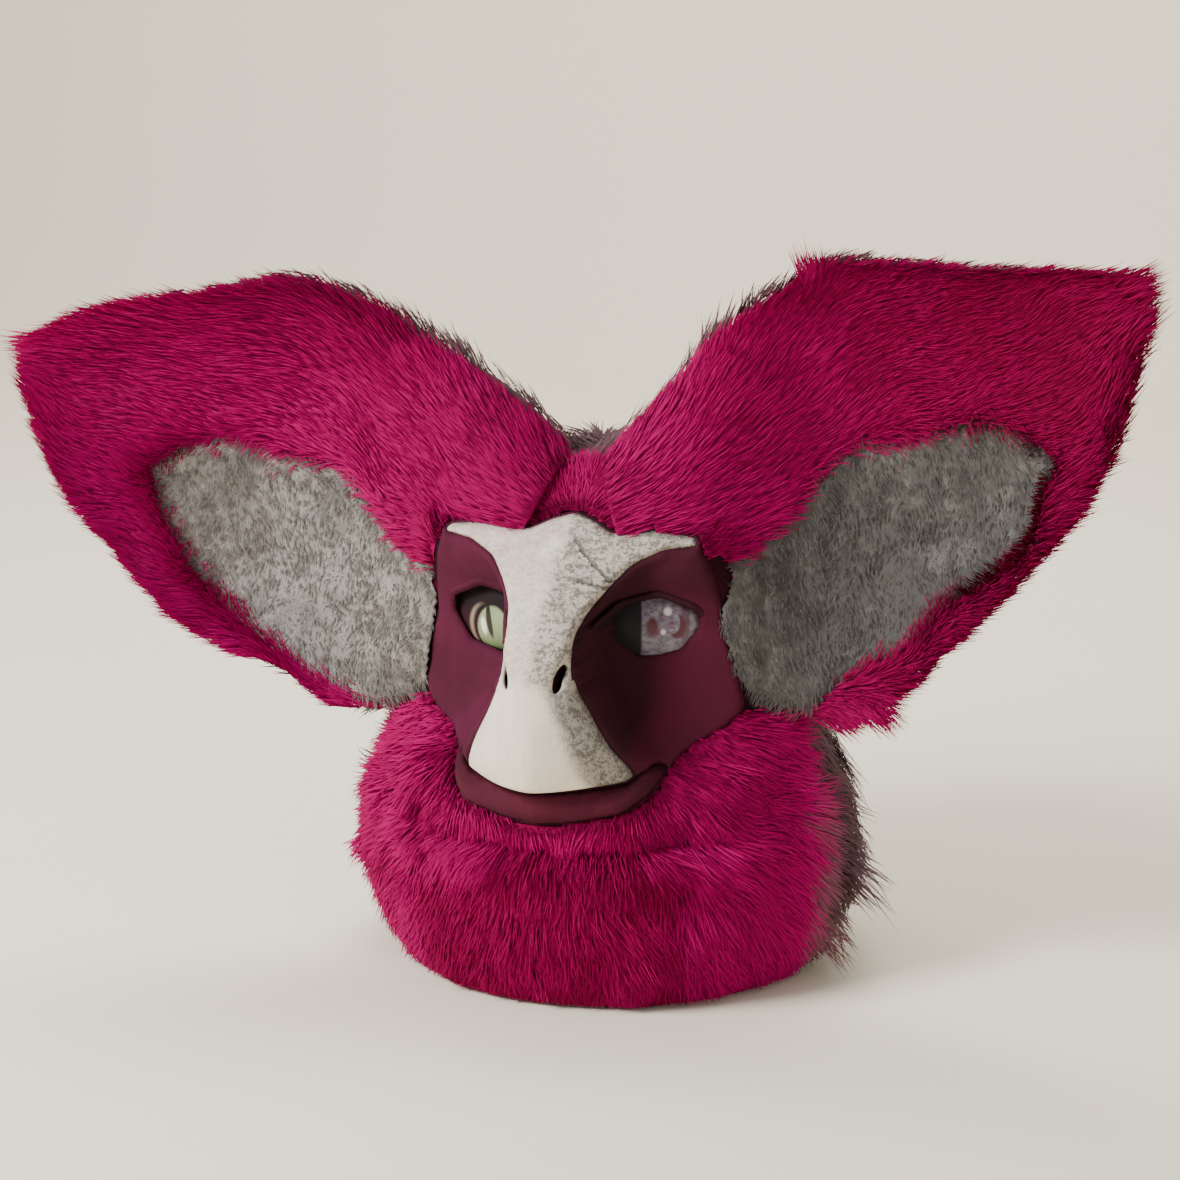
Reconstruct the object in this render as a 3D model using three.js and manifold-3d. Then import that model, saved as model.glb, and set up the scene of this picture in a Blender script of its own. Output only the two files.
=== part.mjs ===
// A fursuit head: a hollow foam shell that stands on the rim of its neck, with a cream blaze over the snout,
// suede-like face panels, domed eyes, two large cupped ears with short-pile liners, and long-pile pelts.
// Millimetres. +Z is up, the face looks along -Y, and +X is the right-hand side as seen from the front.
// The plane Y = 0 runs through the place where the two ears meet above the forehead.
import * as THREE from 'three';
import { mergeVertices } from 'three/addons/utils/BufferGeometryUtils.js';
import Module from 'manifold-3d';

// Sizes of the foam shell
const headHeight = 288;
const headWidth = 272;
const muzzleWidth = 94;
const faceReach = 110;
const backReach = 180;
const shellWall = 12;

// Sizes of the face
const blazeThickness = 3;
const panelThickness = 2;
const lipThickness = 6;
const eyeWidth = 70;
const eyeHeight = 47;
const eyeDepth = 28;
const eyeTurn = 21;
const lidThickness = 3;
const lidWidth = 5;
const nostrilWidth = 5.2;
const nostrilHeight = 15;
const nostrilDepth = 26;

// Sizes of the ears
const earLength = 225;
const earHeight = 240;
const earSweep = 64;
const earCup = 42;
const earSheet = 9;
const earRim = 9;
const linerThickness = 3;
const earBackFur = 9;
const earBackRise = 6;

// Sizes of the fur
const furDepth = 14;
const lockLength = 34;
const lockWidth = 13;
const hemClearance = 1.5;

// Gap that two neighbouring pieces keep, and the plane where the side fur meets the back fur
const seam = 0.3;
const sideSeamY = 4;
const chinHalf = 66;

const wasm = await Module();
wasm.setup();

// Solids
function toSolid(geometry) {
  const bare = geometry.clone();
  bare.deleteAttribute('normal');
  bare.deleteAttribute('uv');
  const merged = mergeVertices(bare, 1e-4);
  const vertProperties = Float32Array.from(merged.attributes.position.array);
  const triVerts = Uint32Array.from(merged.index.array);
  const a = new THREE.Vector3();
  const b = new THREE.Vector3();
  const c = new THREE.Vector3();
  let volume = 0;
  for (let i = 0; i < triVerts.length; i += 3) {
    a.fromArray(vertProperties, triVerts[i] * 3);
    b.fromArray(vertProperties, triVerts[i + 1] * 3);
    c.fromArray(vertProperties, triVerts[i + 2] * 3);
    volume += a.dot(b.cross(c));
  }
  if (volume < 0) {
    for (let i = 0; i < triVerts.length; i += 3) {
      const kept = triVerts[i];
      triVerts[i] = triVerts[i + 1];
      triVerts[i + 1] = kept;
    }
  }
  return new wasm.Manifold(new wasm.Mesh({ numProp: 3, vertProperties, triVerts }));
}

function toGeometry(solid) {
  const mesh = solid.getMesh();
  const geometry = new THREE.BufferGeometry();
  const points = new Float32Array(mesh.numVert * 3);
  for (let i = 0; i < mesh.numVert; i += 1) {
    points[i * 3] = mesh.vertProperties[i * mesh.numProp];
    points[i * 3 + 1] = mesh.vertProperties[i * mesh.numProp + 1];
    points[i * 3 + 2] = mesh.vertProperties[i * mesh.numProp + 2];
  }
  geometry.setAttribute('position', new THREE.BufferAttribute(points, 3));
  geometry.setIndex(new THREE.BufferAttribute(Uint32Array.from(mesh.triVerts), 1));
  geometry.computeVertexNormals();
  return geometry;
}

// The largest connected body of a solid, without the slivers that a cut can leave beside it
function largest(solid) {
  const bodies = solid.decompose();
  let best = bodies[0];
  for (const body of bodies) {
    if (body.volume() > best.volume()) {
      best = body;
    }
  }
  return best;
}

// Curves
function spline(before, from, to, after, t) {
  const t2 = t * t;
  const t3 = t2 * t;
  return 0.5 * (2 * from + (to - before) * t + (2 * before - 5 * from + 4 * to - after) * t2
    + (3 * from - before - 3 * to + after) * t3);
}

// A closed curve through control points, with a chosen number of steps in each span
function closedCurve(controls, steps) {
  const count = controls.length;
  const curve = [];
  for (let i = 0; i < count; i += 1) {
    const before = controls[(i + count - 1) % count];
    const from = controls[i];
    const to = controls[(i + 1) % count];
    const after = controls[(i + 2) % count];
    for (let k = 0; k < steps[i]; k += 1) {
      const t = k / steps[i];
      curve.push(from.map((value, axis) => spline(before[axis], value, to[axis], after[axis], t)));
    }
  }
  return curve;
}

// A closed body from rings of equal count, capped flat below and drawn to a point above
function loftGeometry(rings, bottomCentre, top) {
  const count = rings[0].length;
  const points = rings.flat(2);
  const index = [];
  for (let row = 0; row + 1 < rings.length; row += 1) {
    for (let i = 0; i < count; i += 1) {
      const j = (i + 1) % count;
      const a = row * count + i;
      const b = row * count + j;
      index.push(a, b, b + count);
      index.push(a, b + count, a + count);
    }
  }
  const last = (rings.length - 1) * count;
  const foot = rings.length * count;
  points.push(...bottomCentre, ...top);
  for (let i = 0; i < count; i += 1) {
    const j = (i + 1) % count;
    index.push(foot, j, i);
    index.push(foot + 1, last + i, last + j);
  }
  const geometry = new THREE.BufferGeometry();
  geometry.setAttribute('position', new THREE.Float32BufferAttribute(points, 3));
  geometry.setIndex(index);
  geometry.computeVertexNormals();
  return geometry;
}

// Sections of the head
// Heights are shares of headHeight. The reaches of bridge, ridge, foot, cheek and hollow are shares of faceReach,
// forward of Y = 0. The halves of ridge and foot are shares of half the muzzleWidth, and those of cheek and side
// are shares of half the headWidth. sideY and back are shares of backReach. The fur columns are shares of furDepth.
const sectionColumns = ['height', 'bridge', 'ridgeHalf', 'ridge', 'footHalf', 'foot', 'cheekHalf', 'cheek',
  'sideHalf', 'sideY', 'back', 'hollow', 'frontFur', 'sideFur', 'backFur'];
const sectionTable = [
  [0.000, 0.62, 0.64, 0.59, 1.17, 0.50, 0.63, 0.23, 0.80, 0.17, 0.69, 0.49, 0.80, 1.00, 0.75],
  [0.104, 0.73, 0.72, 0.69, 1.32, 0.58, 0.72, 0.25, 0.94, 0.17, 0.78, 0.60, 0.80, 1.05, 0.80],
  [0.208, 0.77, 0.77, 0.73, 1.40, 0.60, 0.76, 0.25, 1.00, 0.17, 0.83, 0.64, 0.80, 1.10, 0.80],
  [0.305, 0.76, 0.77, 0.73, 1.36, 0.60, 0.75, 0.25, 0.97, 0.17, 0.88, 0.62, 0.75, 1.10, 0.80],
  [0.329, 0.69, 0.77, 0.66, 1.32, 0.56, 0.74, 0.24, 0.96, 0.17, 0.89, 0.56, 0.45, 1.10, 0.80],
  [0.361, 0.82, 0.81, 0.76, 1.28, 0.62, 0.71, 0.24, 0.93, 0.17, 0.91, 0.56, 0.65, 1.10, 0.80],
  [0.441, 0.85, 0.89, 0.65, 1.23, 0.50, 0.69, 0.20, 0.85, 0.17, 0.94, 0.47, 0.40, 1.00, 0.80],
  [0.455, 0.96, 1.00, 0.61, 1.19, 0.45, 0.68, 0.18, 0.84, 0.17, 0.95, 0.44, 0.40, 1.00, 0.80],
  [0.521, 1.00, 0.79, 0.73, 0.98, 0.38, 0.68, 0.11, 0.79, 0.17, 0.97, 0.32, 0.40, 0.90, 0.80],
  [0.590, 0.96, 0.55, 0.78, 0.72, 0.35, 0.66, 0.11, 0.76, 0.17, 0.99, 0.16, 0.40, 0.85, 0.80],
  [0.653, 0.91, 0.41, 0.82, 0.55, 0.33, 0.64, 0.14, 0.74, 0.17, 0.99, 0.00, 0.40, 0.80, 0.80],
  [0.705, 0.84, 0.39, 0.78, 0.49, 0.32, 0.61, 0.16, 0.72, 0.17, 0.99, -0.07, 0.40, 0.75, 0.80],
  [0.764, 0.70, 0.49, 0.62, 0.64, 0.35, 0.60, 0.20, 0.70, 0.17, 0.97, -0.06, 0.40, 0.75, 0.80],
  [0.827, 0.52, 0.77, 0.45, 0.96, 0.38, 0.58, 0.25, 0.67, 0.17, 0.92, 0.03, 0.45, 0.70, 0.75],
  [0.871, 0.35, 1.06, 0.34, 1.40, 0.31, 0.56, 0.26, 0.64, 0.18, 0.88, 0.06, 0.60, 0.65, 0.70],
  [0.910, 0.21, 0.85, 0.19, 1.32, 0.14, 0.52, 0.03, 0.58, 0.20, 0.76, 0.00, 0.65, 0.65, 0.70],
  [0.955, 0.09, 0.66, 0.07, 1.02, 0.01, 0.43, -0.11, 0.47, 0.22, 0.62, -0.17, 0.65, 0.65, 0.65],
  [0.986, -0.01, 0.42, -0.03, 0.68, -0.07, 0.28, -0.17, 0.31, 0.22, 0.45, -0.34, 0.65, 0.65, 0.65],
];
const sections = sectionTable.map((row) => Object.fromEntries(sectionColumns.map((name, i) => [name, row[i]])));
const crownY = 0.19 * backReach;
const spanSteps = [2, 2, 2, 2, 2, 2, 2, 2, 2, 2, 2, 2];

function mirrored(half) {
  const other = half.slice(1, -1).reverse().map(([x, ...rest]) => [-x, ...rest]);
  return [...half, ...other];
}

// One ring of the foam's outside. Each control holds X, Y and the depth of fur that stands on it.
function shellRing(section) {
  const muzzleHalf = muzzleWidth / 2;
  const headHalf = headWidth / 2;
  const sideY = section.sideY * backReach;
  const side = section.sideHalf * headHalf;
  const back = section.back * backReach;
  const front = section.frontFur * furDepth;
  const flank = section.sideFur * furDepth;
  const rear = section.backFur * furDepth;
  const controls = mirrored([
    [0, -section.bridge * faceReach, front],
    [section.ridgeHalf * muzzleHalf, -section.ridge * faceReach, front],
    [section.footHalf * muzzleHalf, -section.foot * faceReach, front],
    [section.cheekHalf * headHalf, -section.cheek * faceReach, (front + 2 * flank) / 3],
    [side, sideY, flank],
    [0.72 * side, sideY + 0.8 * (back - sideY), (flank + rear) / 2],
    [0, back, rear],
  ]);
  return closedCurve(controls, spanSteps);
}

// The outside of the foam grown by a depth: a number, or a share of the fur that stands there
function shellSolid(grow, furShare = 0, bottom = 0) {
  const rings = sections.map(shellRing);
  const z = sections.map((section) => section.height * headHeight);
  const bare = rings.map((ring, row) => ring.map(([x, y]) => [x, y, z[row]]));
  const foot = [0, crownY, z[0]];
  const top = [0, crownY, headHeight];
  const normals = loftGeometry(bare, foot, top).attributes.normal;
  const grown = bare.map((ring, row) => ring.map(([x, y, height], i) => {
    const at = row * ring.length + i;
    const normal = new THREE.Vector3().fromBufferAttribute(normals, at);
    if (row === 0) {
      normal.setZ(0).normalize();
    }
    const depth = grow + furShare * rings[row][i][2];
    return [x + normal.x * depth, y + normal.y * depth, row === 0 ? bottom : height + normal.z * depth];
  }));
  const rise = grow + furShare * sections.at(-1).frontFur * furDepth;
  return toSolid(loftGeometry(grown, [0, crownY, bottom], [0, crownY, headHeight + rise]));
}

// The hollow that the wearer's head goes into, open at the neck. It skips the rows that only shape the lip and brow.
const hollowRowsLeftOut = [3, 4, 6, 9, 11, 14, 16];
function hollowSolid() {
  const rings = [];
  for (const [row, section] of sections.entries()) {
    const height = section.height * headHeight;
    if (hollowRowsLeftOut.includes(row) || height > headHeight - 2.2 * shellWall) {
      continue;
    }
    const sideY = section.sideY * backReach;
    const front = -section.hollow * faceReach;
    const side = section.sideHalf * headWidth / 2 - shellWall;
    const back = section.back * backReach - shellWall;
    const controls = mirrored([
      [0, front],
      [0.35 * side, front + 3],
      [0.72 * side, front + 0.42 * (sideY - front)],
      [side, sideY],
      [0.72 * side, sideY + 0.8 * (back - sideY)],
      [0, back],
    ]);
    const steps = [2, 2, 2, 1, 2, 2, 1, 2, 2, 2];
    const z = rings.length === 0 ? -10 : height;
    rings.push(closedCurve(controls, steps).map(([x, y]) => [x, y, z]));
  }
  const top = [0, crownY, headHeight - 1.25 * shellWall];
  return toSolid(loftGeometry(rings, [0, crownY, -10], top));
}

// Cutting shapes
// A prism with an outline in X and Z, running along Y
function frontPrism(outline, fromY, toY) {
  const shape = new THREE.Shape(outline.map(([x, z]) => new THREE.Vector2(x, z)));
  const geometry = new THREE.ExtrudeGeometry(shape, { depth: toY - fromY, bevelEnabled: false });
  geometry.rotateX(Math.PI / 2);
  geometry.translate(0, toY, 0);
  return toSolid(geometry);
}

function block(x0, x1, y0, y1, z0, z1) {
  const geometry = new THREE.BoxGeometry(x1 - x0, y1 - y0, z1 - z0);
  geometry.translate((x0 + x1) / 2, (y0 + y1) / 2, (z0 + z1) / 2);
  return toSolid(geometry);
}

// An outline moved outwards by a distance, for the gap beside a neighbour
function grownOutline(outline, distance) {
  const count = outline.length;
  const turning = THREE.ShapeUtils.area(outline.map(([x, y]) => new THREE.Vector2(x, y))) > 0 ? 1 : -1;
  return outline.map(([x, z], i) => {
    const before = outline[(i + count - 1) % count];
    const after = outline[(i + 1) % count];
    const a = new THREE.Vector2(x - before[0], z - before[1]).normalize();
    const b = new THREE.Vector2(after[0] - x, after[1] - z).normalize();
    const out = new THREE.Vector2(a.y + b.y, -a.x - b.x).multiplyScalar(turning);
    const reach = distance / Math.max(0.5, out.length() / 2);
    out.normalize().multiplyScalar(reach);
    return [x + out.x, z + out.y];
  });
}

// Outlines on the face
// Half outlines, from the middle line outwards. Columns: half width as a share of half the headWidth,
// height as a share of headHeight.
const blazeHalfOutline = [
  [0.000, 0.910], [0.090, 0.898], [0.170, 0.881], [0.330, 0.890], [0.515, 0.880], [0.520, 0.867],
  [0.400, 0.861], [0.290, 0.836], [0.220, 0.799], [0.168, 0.764], [0.140, 0.729], [0.136, 0.705],
  [0.143, 0.660], [0.162, 0.625], [0.213, 0.573], [0.272, 0.521], [0.330, 0.472], [0.344, 0.455],
  [0.325, 0.445], [0.150, 0.438], [0.000, 0.434],
];
const openingHalfOutline = [
  [0.000, 0.914], [0.090, 0.902], [0.170, 0.885], [0.330, 0.895], [0.525, 0.884], [0.575, 0.823],
  [0.612, 0.704], [0.650, 0.623], [0.680, 0.547], [0.610, 0.509], [0.510, 0.490], [0.450, 0.460],
  [0.415, 0.417], [0.330, 0.389], [0.160, 0.375], [0.000, 0.368],
];
const lipHalfOutline = [
  [0.000, 0.430], [0.150, 0.433], [0.322, 0.441], [0.350, 0.451], [0.390, 0.466], [0.440, 0.456],
  [0.405, 0.421], [0.322, 0.393], [0.158, 0.379], [0.000, 0.373],
];
// The ragged crease under the chin roll, from the left seam to the right one, X as a share of chinHalf
const creaseLine = [[-1.0, 0.255], [-0.68, 0.274], [-0.35, 0.299], [-0.08, 0.325], [0.06, 0.335], [0.22, 0.330],
  [0.36, 0.340], [0.55, 0.325], [0.78, 0.309], [1.0, 0.284]];

function fullOutline(half) {
  const right = half.map(([x, z]) => [x * headWidth / 2, z * headHeight]);
  const left = right.slice(1, -1).reverse().map(([x, z]) => [-x, z]);
  return [...right, ...left];
}

const blazeOutline = fullOutline(blazeHalfOutline);
const openingOutline = fullOutline(openingHalfOutline);
const lipOutline = fullOutline(lipHalfOutline);

// Ears
// Columns: along the ear, upper edge X and Z, lower edge X and Z, depth of the cup. X is measured from the root
// outwards as a share of earLength, Z from the root's height as a share of earHeight, the cup as a share of earCup.
const earRootX = 0.55 * headWidth / 2;
const earRootZ = 0.781 * headHeight;
const earTables = {
  left: [
    [0.00, -0.280, 0.270, -0.100, -0.170, -0.80],
    [0.10, -0.100, 0.402, 0.070, -0.348, -0.50],
    [0.24, 0.070, 0.492, 0.280, -0.348, 0.25],
    [0.38, 0.240, 0.592, 0.490, -0.248, 0.85],
    [0.50, 0.390, 0.637, 0.630, -0.188, 1.00],
    [0.63, 0.580, 0.612, 0.770, -0.073, 0.85],
    [0.76, 0.750, 0.592, 0.880, 0.072, 0.60],
    [0.89, 0.890, 0.562, 0.965, 0.202, 0.32],
    [1.00, 0.995, 0.507, 1.015, 0.397, 0.06],
  ],
  right: [
    [0.00, -0.280, 0.270, -0.100, -0.120, -0.80],
    [0.10, -0.140, 0.397, 0.100, -0.273, -0.50],
    [0.24, 0.000, 0.527, 0.290, -0.288, 0.25],
    [0.38, 0.140, 0.632, 0.450, -0.198, 0.85],
    [0.50, 0.320, 0.712, 0.570, -0.078, 1.00],
    [0.63, 0.490, 0.717, 0.700, 0.047, 0.85],
    [0.76, 0.680, 0.717, 0.830, 0.202, 0.60],
    [0.89, 0.850, 0.722, 0.940, 0.382, 0.32],
    [1.00, 0.985, 0.722, 0.995, 0.607, 0.06],
  ],
};
// Liner outlines, in the same shares as the ear's edges
const linerOutlines = {
  left: [[0.79, 0.21], [0.71, 0.255], [0.60, 0.275], [0.51, 0.225], [0.35, 0.205], [0.245, 0.12], [0.18, 0.06],
    [0.06, 0.01], [-0.10, -0.02], [-0.10, -0.20], [0.12, -0.325], [0.23, -0.35], [0.40, -0.29], [0.535, -0.20],
    [0.63, -0.12], [0.70, -0.02], [0.755, 0.10]],
  right: [[-0.10, 0.015], [0.06, 0.07], [0.13, 0.13], [0.17, 0.185], [0.29, 0.315], [0.42, 0.335], [0.62, 0.395],
    [0.70, 0.385], [0.82, 0.32], [0.78, 0.27], [0.77, 0.18], [0.72, 0.10], [0.53, -0.035], [0.48, -0.125],
    [0.30, -0.21], [0.25, -0.275], [0.17, -0.29], [0.08, -0.26], [-0.10, -0.20], [-0.10, -0.08]],
};
const earAcross = [0, 0.09, 0.28, 0.50, 0.72, 0.91, 1];
// How far the back pelt rises past the ear's upper edge, row by row, as shares of earBackRise
const backRises = [0.6, 1.0, 1.0, 0.9, 0.7, 0.4, 0.1, 0.0, 0.0];

// The middle surface of an ear: a point for a row of its table and a place across it, 0 below and 1 above.
// spread lengthens the ear past its own edges and ends.
function earPoint(row, across, spread, rise = 0) {
  const [along, upperX, upperZ, lowerX, lowerZ, cup] = row;
  const upper = new THREE.Vector2(upperX * earLength, upperZ * earHeight);
  const lower = new THREE.Vector2(lowerX * earLength, lowerZ * earHeight);
  const line = upper.clone().sub(lower);
  const length = line.length();
  const place = lower.clone().addScaledVector(line, across + spread * (2 * across - 1) / length);
  const hollow = cup * earCup * (4 * across * (1 - across)) ** 0.75;
  place.addScaledVector(line, rise * across ** 3 / length);
  const y = -earSweep * along ** 1.4 + hollow;
  const ends = { 0: -spread, 1: spread };
  return new THREE.Vector3(place.x + earRootX + (ends[along] ?? 0), y, place.y + earRootZ);
}

// A closed sheet that follows an ear, from one depth to another, thinner towards its edges by taper. grow
// thickens it both ways, and rise lengthens it past the ear's upper edge.
function earLayer(side, from, to, { spread = 0, taper = 0.45, rise = 0, grow = 0 } = {}) {
  const sign = side === 'left' ? -1 : 1;
  const rows = earTables[side];
  const columns = earAcross.length;
  const points = [];
  for (const depth of [from, to]) {
    rows.forEach((row, k) => {
      earAcross.forEach((across) => {
        const place = earPoint(row, across, spread, rise * backRises[k]);
        const edge = Math.min(1, 9 * Math.min(across, 1 - across), 0.35 + 2.2 * (rows.length - 1 - k));
        const thin = taper + (1 - taper) * Math.sqrt(Math.max(0, edge));
        const swell = depth === from ? -grow : grow;
        points.push(sign * place.x, place.y + depth * thin + swell, place.z);
      });
    });
  }
  const layer = rows.length * columns;
  const index = [];
  const quad = (a, b, c, d) => index.push(a, b, c, a, c, d);
  for (let r = 0; r + 1 < rows.length; r += 1) {
    for (let c = 0; c + 1 < columns; c += 1) {
      const a = r * columns + c;
      quad(a, a + columns, a + columns + 1, a + 1);
      quad(layer + a, layer + a + 1, layer + a + columns + 1, layer + a + columns);
    }
  }
  for (let r = 0; r + 1 < rows.length; r += 1) {
    const low = r * columns;
    const high = low + columns - 1;
    quad(low, layer + low, layer + low + columns, low + columns);
    quad(high, high + columns, layer + high + columns, layer + high);
  }
  const tip = (rows.length - 1) * columns;
  for (let c = 0; c + 1 < columns; c += 1) {
    quad(c, c + 1, layer + c + 1, layer + c);
    quad(tip + c, layer + tip + c, layer + tip + c + 1, tip + c + 1);
  }
  const geometry = new THREE.BufferGeometry();
  geometry.setAttribute('position', new THREE.Float32BufferAttribute(points, 3));
  geometry.setIndex(index);
  return toSolid(geometry);
}

function linerPrism(side, grow) {
  const sign = side === 'left' ? -1 : 1;
  const outline = linerOutlines[side].map(([x, z]) => [
    sign * (earRootX + x * earLength),
    earRootZ + z * earHeight,
  ]);
  return frontPrism(grownOutline(outline, grow), -beyond, beyond);
}

// Locks of fur
// A pointed, bent lock that starts inside the fur and stands out of it
function lockSolid(base, direction, length, width, droop, grow) {
  const geometry = new THREE.ConeGeometry(width / 2 + grow, length + 3 * grow, 3, droop === 0 ? 1 : 2);
  geometry.translate(0, length / 2 + grow / 2, 0);
  const turn = new THREE.Quaternion().setFromUnitVectors(new THREE.Vector3(0, 1, 0), direction.clone().normalize());
  geometry.applyQuaternion(turn);
  geometry.translate(base.x, base.y, base.z);
  const at = geometry.attributes.position;
  const spot = new THREE.Vector3();
  for (let i = 0; i < at.count; i += 1) {
    spot.fromBufferAttribute(at, i);
    const far = Math.min(1, spot.distanceTo(base) / length);
    at.setZ(i, at.getZ(i) - droop * length * far * far);
  }
  return toSolid(geometry);
}

// A place on the outside of the fur: around runs over the controls of a section, 0 at the bridge and 6 at the back
function furPlace(side, around, height) {
  const z = height * headHeight;
  let row = sections.findIndex((section) => section.height * headHeight > z);
  row = row < 1 ? sections.length - 1 : row;
  const low = shellRing(sections[row - 1]);
  const high = shellRing(sections[row]);
  const lowZ = sections[row - 1].height * headHeight;
  const highZ = sections[row].height * headHeight;
  const t = (z - lowZ) / (highZ - lowZ);
  const at = (place) => {
    const span = Math.min(5, Math.floor(place));
    const start = spanSteps.slice(0, span).reduce((sum, steps) => sum + steps, 0);
    const along = start + (place - span) * spanSteps[span];
    const i = Math.floor(along);
    const u = along - i;
    const mix = (ring) => ring[i].map((value, axis) => value + (ring[(i + 1) % ring.length][axis] - value) * u);
    const a = mix(low);
    const b = mix(high);
    return a.map((value, axis) => value + (b[axis] - value) * t);
  };
  const [x, y, fur] = at(around);
  const [x1, y1] = at(Math.min(around + 0.2, 5.99));
  const [x0, y0] = at(Math.max(around - 0.2, 0.01));
  const normal = new THREE.Vector3(-(y0 - y1), -(x1 - x0), 0).normalize();
  normal.x *= side;
  return { point: new THREE.Vector3(side * x, y, z), normal, fur };
}

// Columns: side, around, height, length and width as shares of lockLength and lockWidth, outward lean, droop
const lockTables = {
  cheek_ruff_left: [
    [-1, 3.35, 0.542, 0.75, 0.9, 0.9, -0.15], [-1, 3.55, 0.493, 1.05, 1.1, 0.9, -0.10],
    [-1, 3.40, 0.450, 1.15, 1.1, 0.9, 0.00], [-1, 3.60, 0.390, 0.95, 1.0, 0.8, 0.10],
    [-1, 3.45, 0.325, 0.85, 1.0, 0.7, 0.20], [-1, 3.60, 0.260, 0.80, 1.0, 0.6, 0.30],
    [-1, 3.40, 0.184, 0.80, 1.0, 0.5, 0.35], [-1, 2.80, 0.292, 0.80, 1.0, 0.4, 0.40],
  ],
  cheek_ruff_right: [
    [1, 3.40, 0.487, 0.85, 1.0, 0.8, 0.20], [1, 3.55, 0.412, 0.85, 1.0, 0.8, 0.20],
    [1, 3.30, 0.347, 0.85, 1.0, 0.6, 0.30], [1, 3.55, 0.260, 0.80, 1.0, 0.6, 0.30],
    [1, 3.35, 0.173, 0.85, 1.0, 0.5, 0.35], [1, 2.80, 0.303, 0.80, 1.0, 0.4, 0.40],
  ],
  chin_roll: [
    [-1, 0.60, 0.363, 0.60, 0.9, 0.3, 0.40], [1, 0.40, 0.363, 0.60, 0.9, 0.3, 0.40],
    [-1, 1.60, 0.347, 0.60, 0.9, 0.3, 0.40],
  ],
  throat_bib: [
    [-1, 0.80, 0.195, 0.70, 1.0, 0.35, 0.40], [1, 0.50, 0.217, 0.70, 1.0, 0.35, 0.40],
    [-1, 1.70, 0.173, 0.70, 1.0, 0.35, 0.40], [1, 1.60, 0.195, 0.70, 1.0, 0.35, 0.40],
  ],
  forehead_pelt: [
    [-1, 1.10, 0.948, 0.50, 0.9, 0.5, -0.20], [1, 0.90, 0.948, 0.50, 0.9, 0.5, -0.20],
  ],
  back_pelt: [
    [1, 4.15, 0.487, 0.85, 1.0, 0.9, 0.10], [1, 4.25, 0.422, 0.95, 1.0, 0.9, 0.15],
    [1, 4.15, 0.347, 0.90, 1.0, 0.8, 0.20], [1, 4.30, 0.271, 0.90, 1.0, 0.7, 0.25],
    [-1, 4.25, 0.347, 0.85, 1.0, 0.7, 0.25], [-1, 5.40, 0.487, 0.80, 1.0, 0.4, 0.35],
    [1, 5.40, 0.325, 0.80, 1.0, 0.4, 0.35],
  ],
};

// The locks of one pelt, grown where they cut a neighbour
function peltLocks(name, grow) {
  const locks = lockTables[name].map(([side, around, height, long, wide, lean, droop]) => {
    const { point, normal, fur } = furPlace(side, around, height);
    const direction = normal.clone().multiplyScalar(lean).add(new THREE.Vector3(0, 0, -0.6 - droop * 0.6));
    const base = point.clone().addScaledVector(normal, fur - 0.22 * lockWidth * wide);
    return lockSolid(base, direction, long * lockLength, wide * lockWidth, droop * 0.3, grow);
  });
  return wasm.Manifold.union(locks);
}

// Columns: row of the ear's table, 1 for the upper edge or 0 for the lower one, length and width as shares of
// lockLength and lockWidth, how far the lock turns outwards along the ear
const earLockTables = {
  left: [
    [7.1, 1, 0.75, 0.8, 0.5], [5.0, 1, 0.65, 0.8, -0.7], [4.4, 1, 0.60, 0.8, -0.8], [4.0, 0, 0.60, 0.8, 0.3],
    [3.5, 0, 0.65, 0.9, 0.7], [2.2, 0, 0.60, 0.9, 0.8], [5.5, 0, 0.50, 0.8, 0.6],
  ],
  right: [
    [4.3, 1, 0.55, 0.8, 0.5], [3.6, 1, 0.55, 0.8, -0.7], [6.2, 0, 0.50, 0.8, 0.6], [4.2, 0, 0.50, 0.9, 0.7],
    [2.4, 0, 0.55, 0.9, 0.6],
  ],
};

function earLocks(side, grow) {
  const sign = side === 'left' ? -1 : 1;
  const rows = earTables[side];
  const locks = earLockTables[side].map(([place, upper, long, wide, outward]) => {
    const k = Math.min(rows.length - 2, Math.floor(place));
    const t = place - k;
    const row = rows[k].map((value, i) => value + (rows[k + 1][i] - value) * t);
    const base = earPoint(row, upper ? 0.965 : 0.035, 0);
    const direction = new THREE.Vector3(sign * outward, 0.1, upper ? 0.75 : -0.75);
    base.x *= sign;
    return lockSolid(base, direction, long * lockLength, wide * lockWidth, 0, grow);
  });
  return wasm.Manifold.union(locks);
}

// Pieces
const grownShell = shellSolid(seam, 0, -8);
const furSolid = shellSolid(0, 1, -8);
const grownFur = shellSolid(seam, 1, -8);
const frontY = -3 * faceReach;

// Past every side of the head, for cutting shapes that split it into regions
const beyond = headWidth + earLength;

// Eyes: flattened domes that sit in sockets of the foam
const eyeCentre = { x: 0.335 * headWidth / 2, y: -0.165 * faceReach, z: 0.708 * headHeight };
function eyeSolid(sign, grow) {
  const geometry = new THREE.SphereGeometry(1, 14, 7);
  geometry.rotateX(Math.PI / 2);
  geometry.scale(eyeWidth / 2 + grow, eyeDepth / 2 + grow, eyeHeight / 2 + grow);
  geometry.rotateZ(THREE.MathUtils.degToRad(sign * eyeTurn));
  geometry.translate(sign * eyeCentre.x, eyeCentre.y, eyeCentre.z);
  return toSolid(geometry);
}

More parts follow.
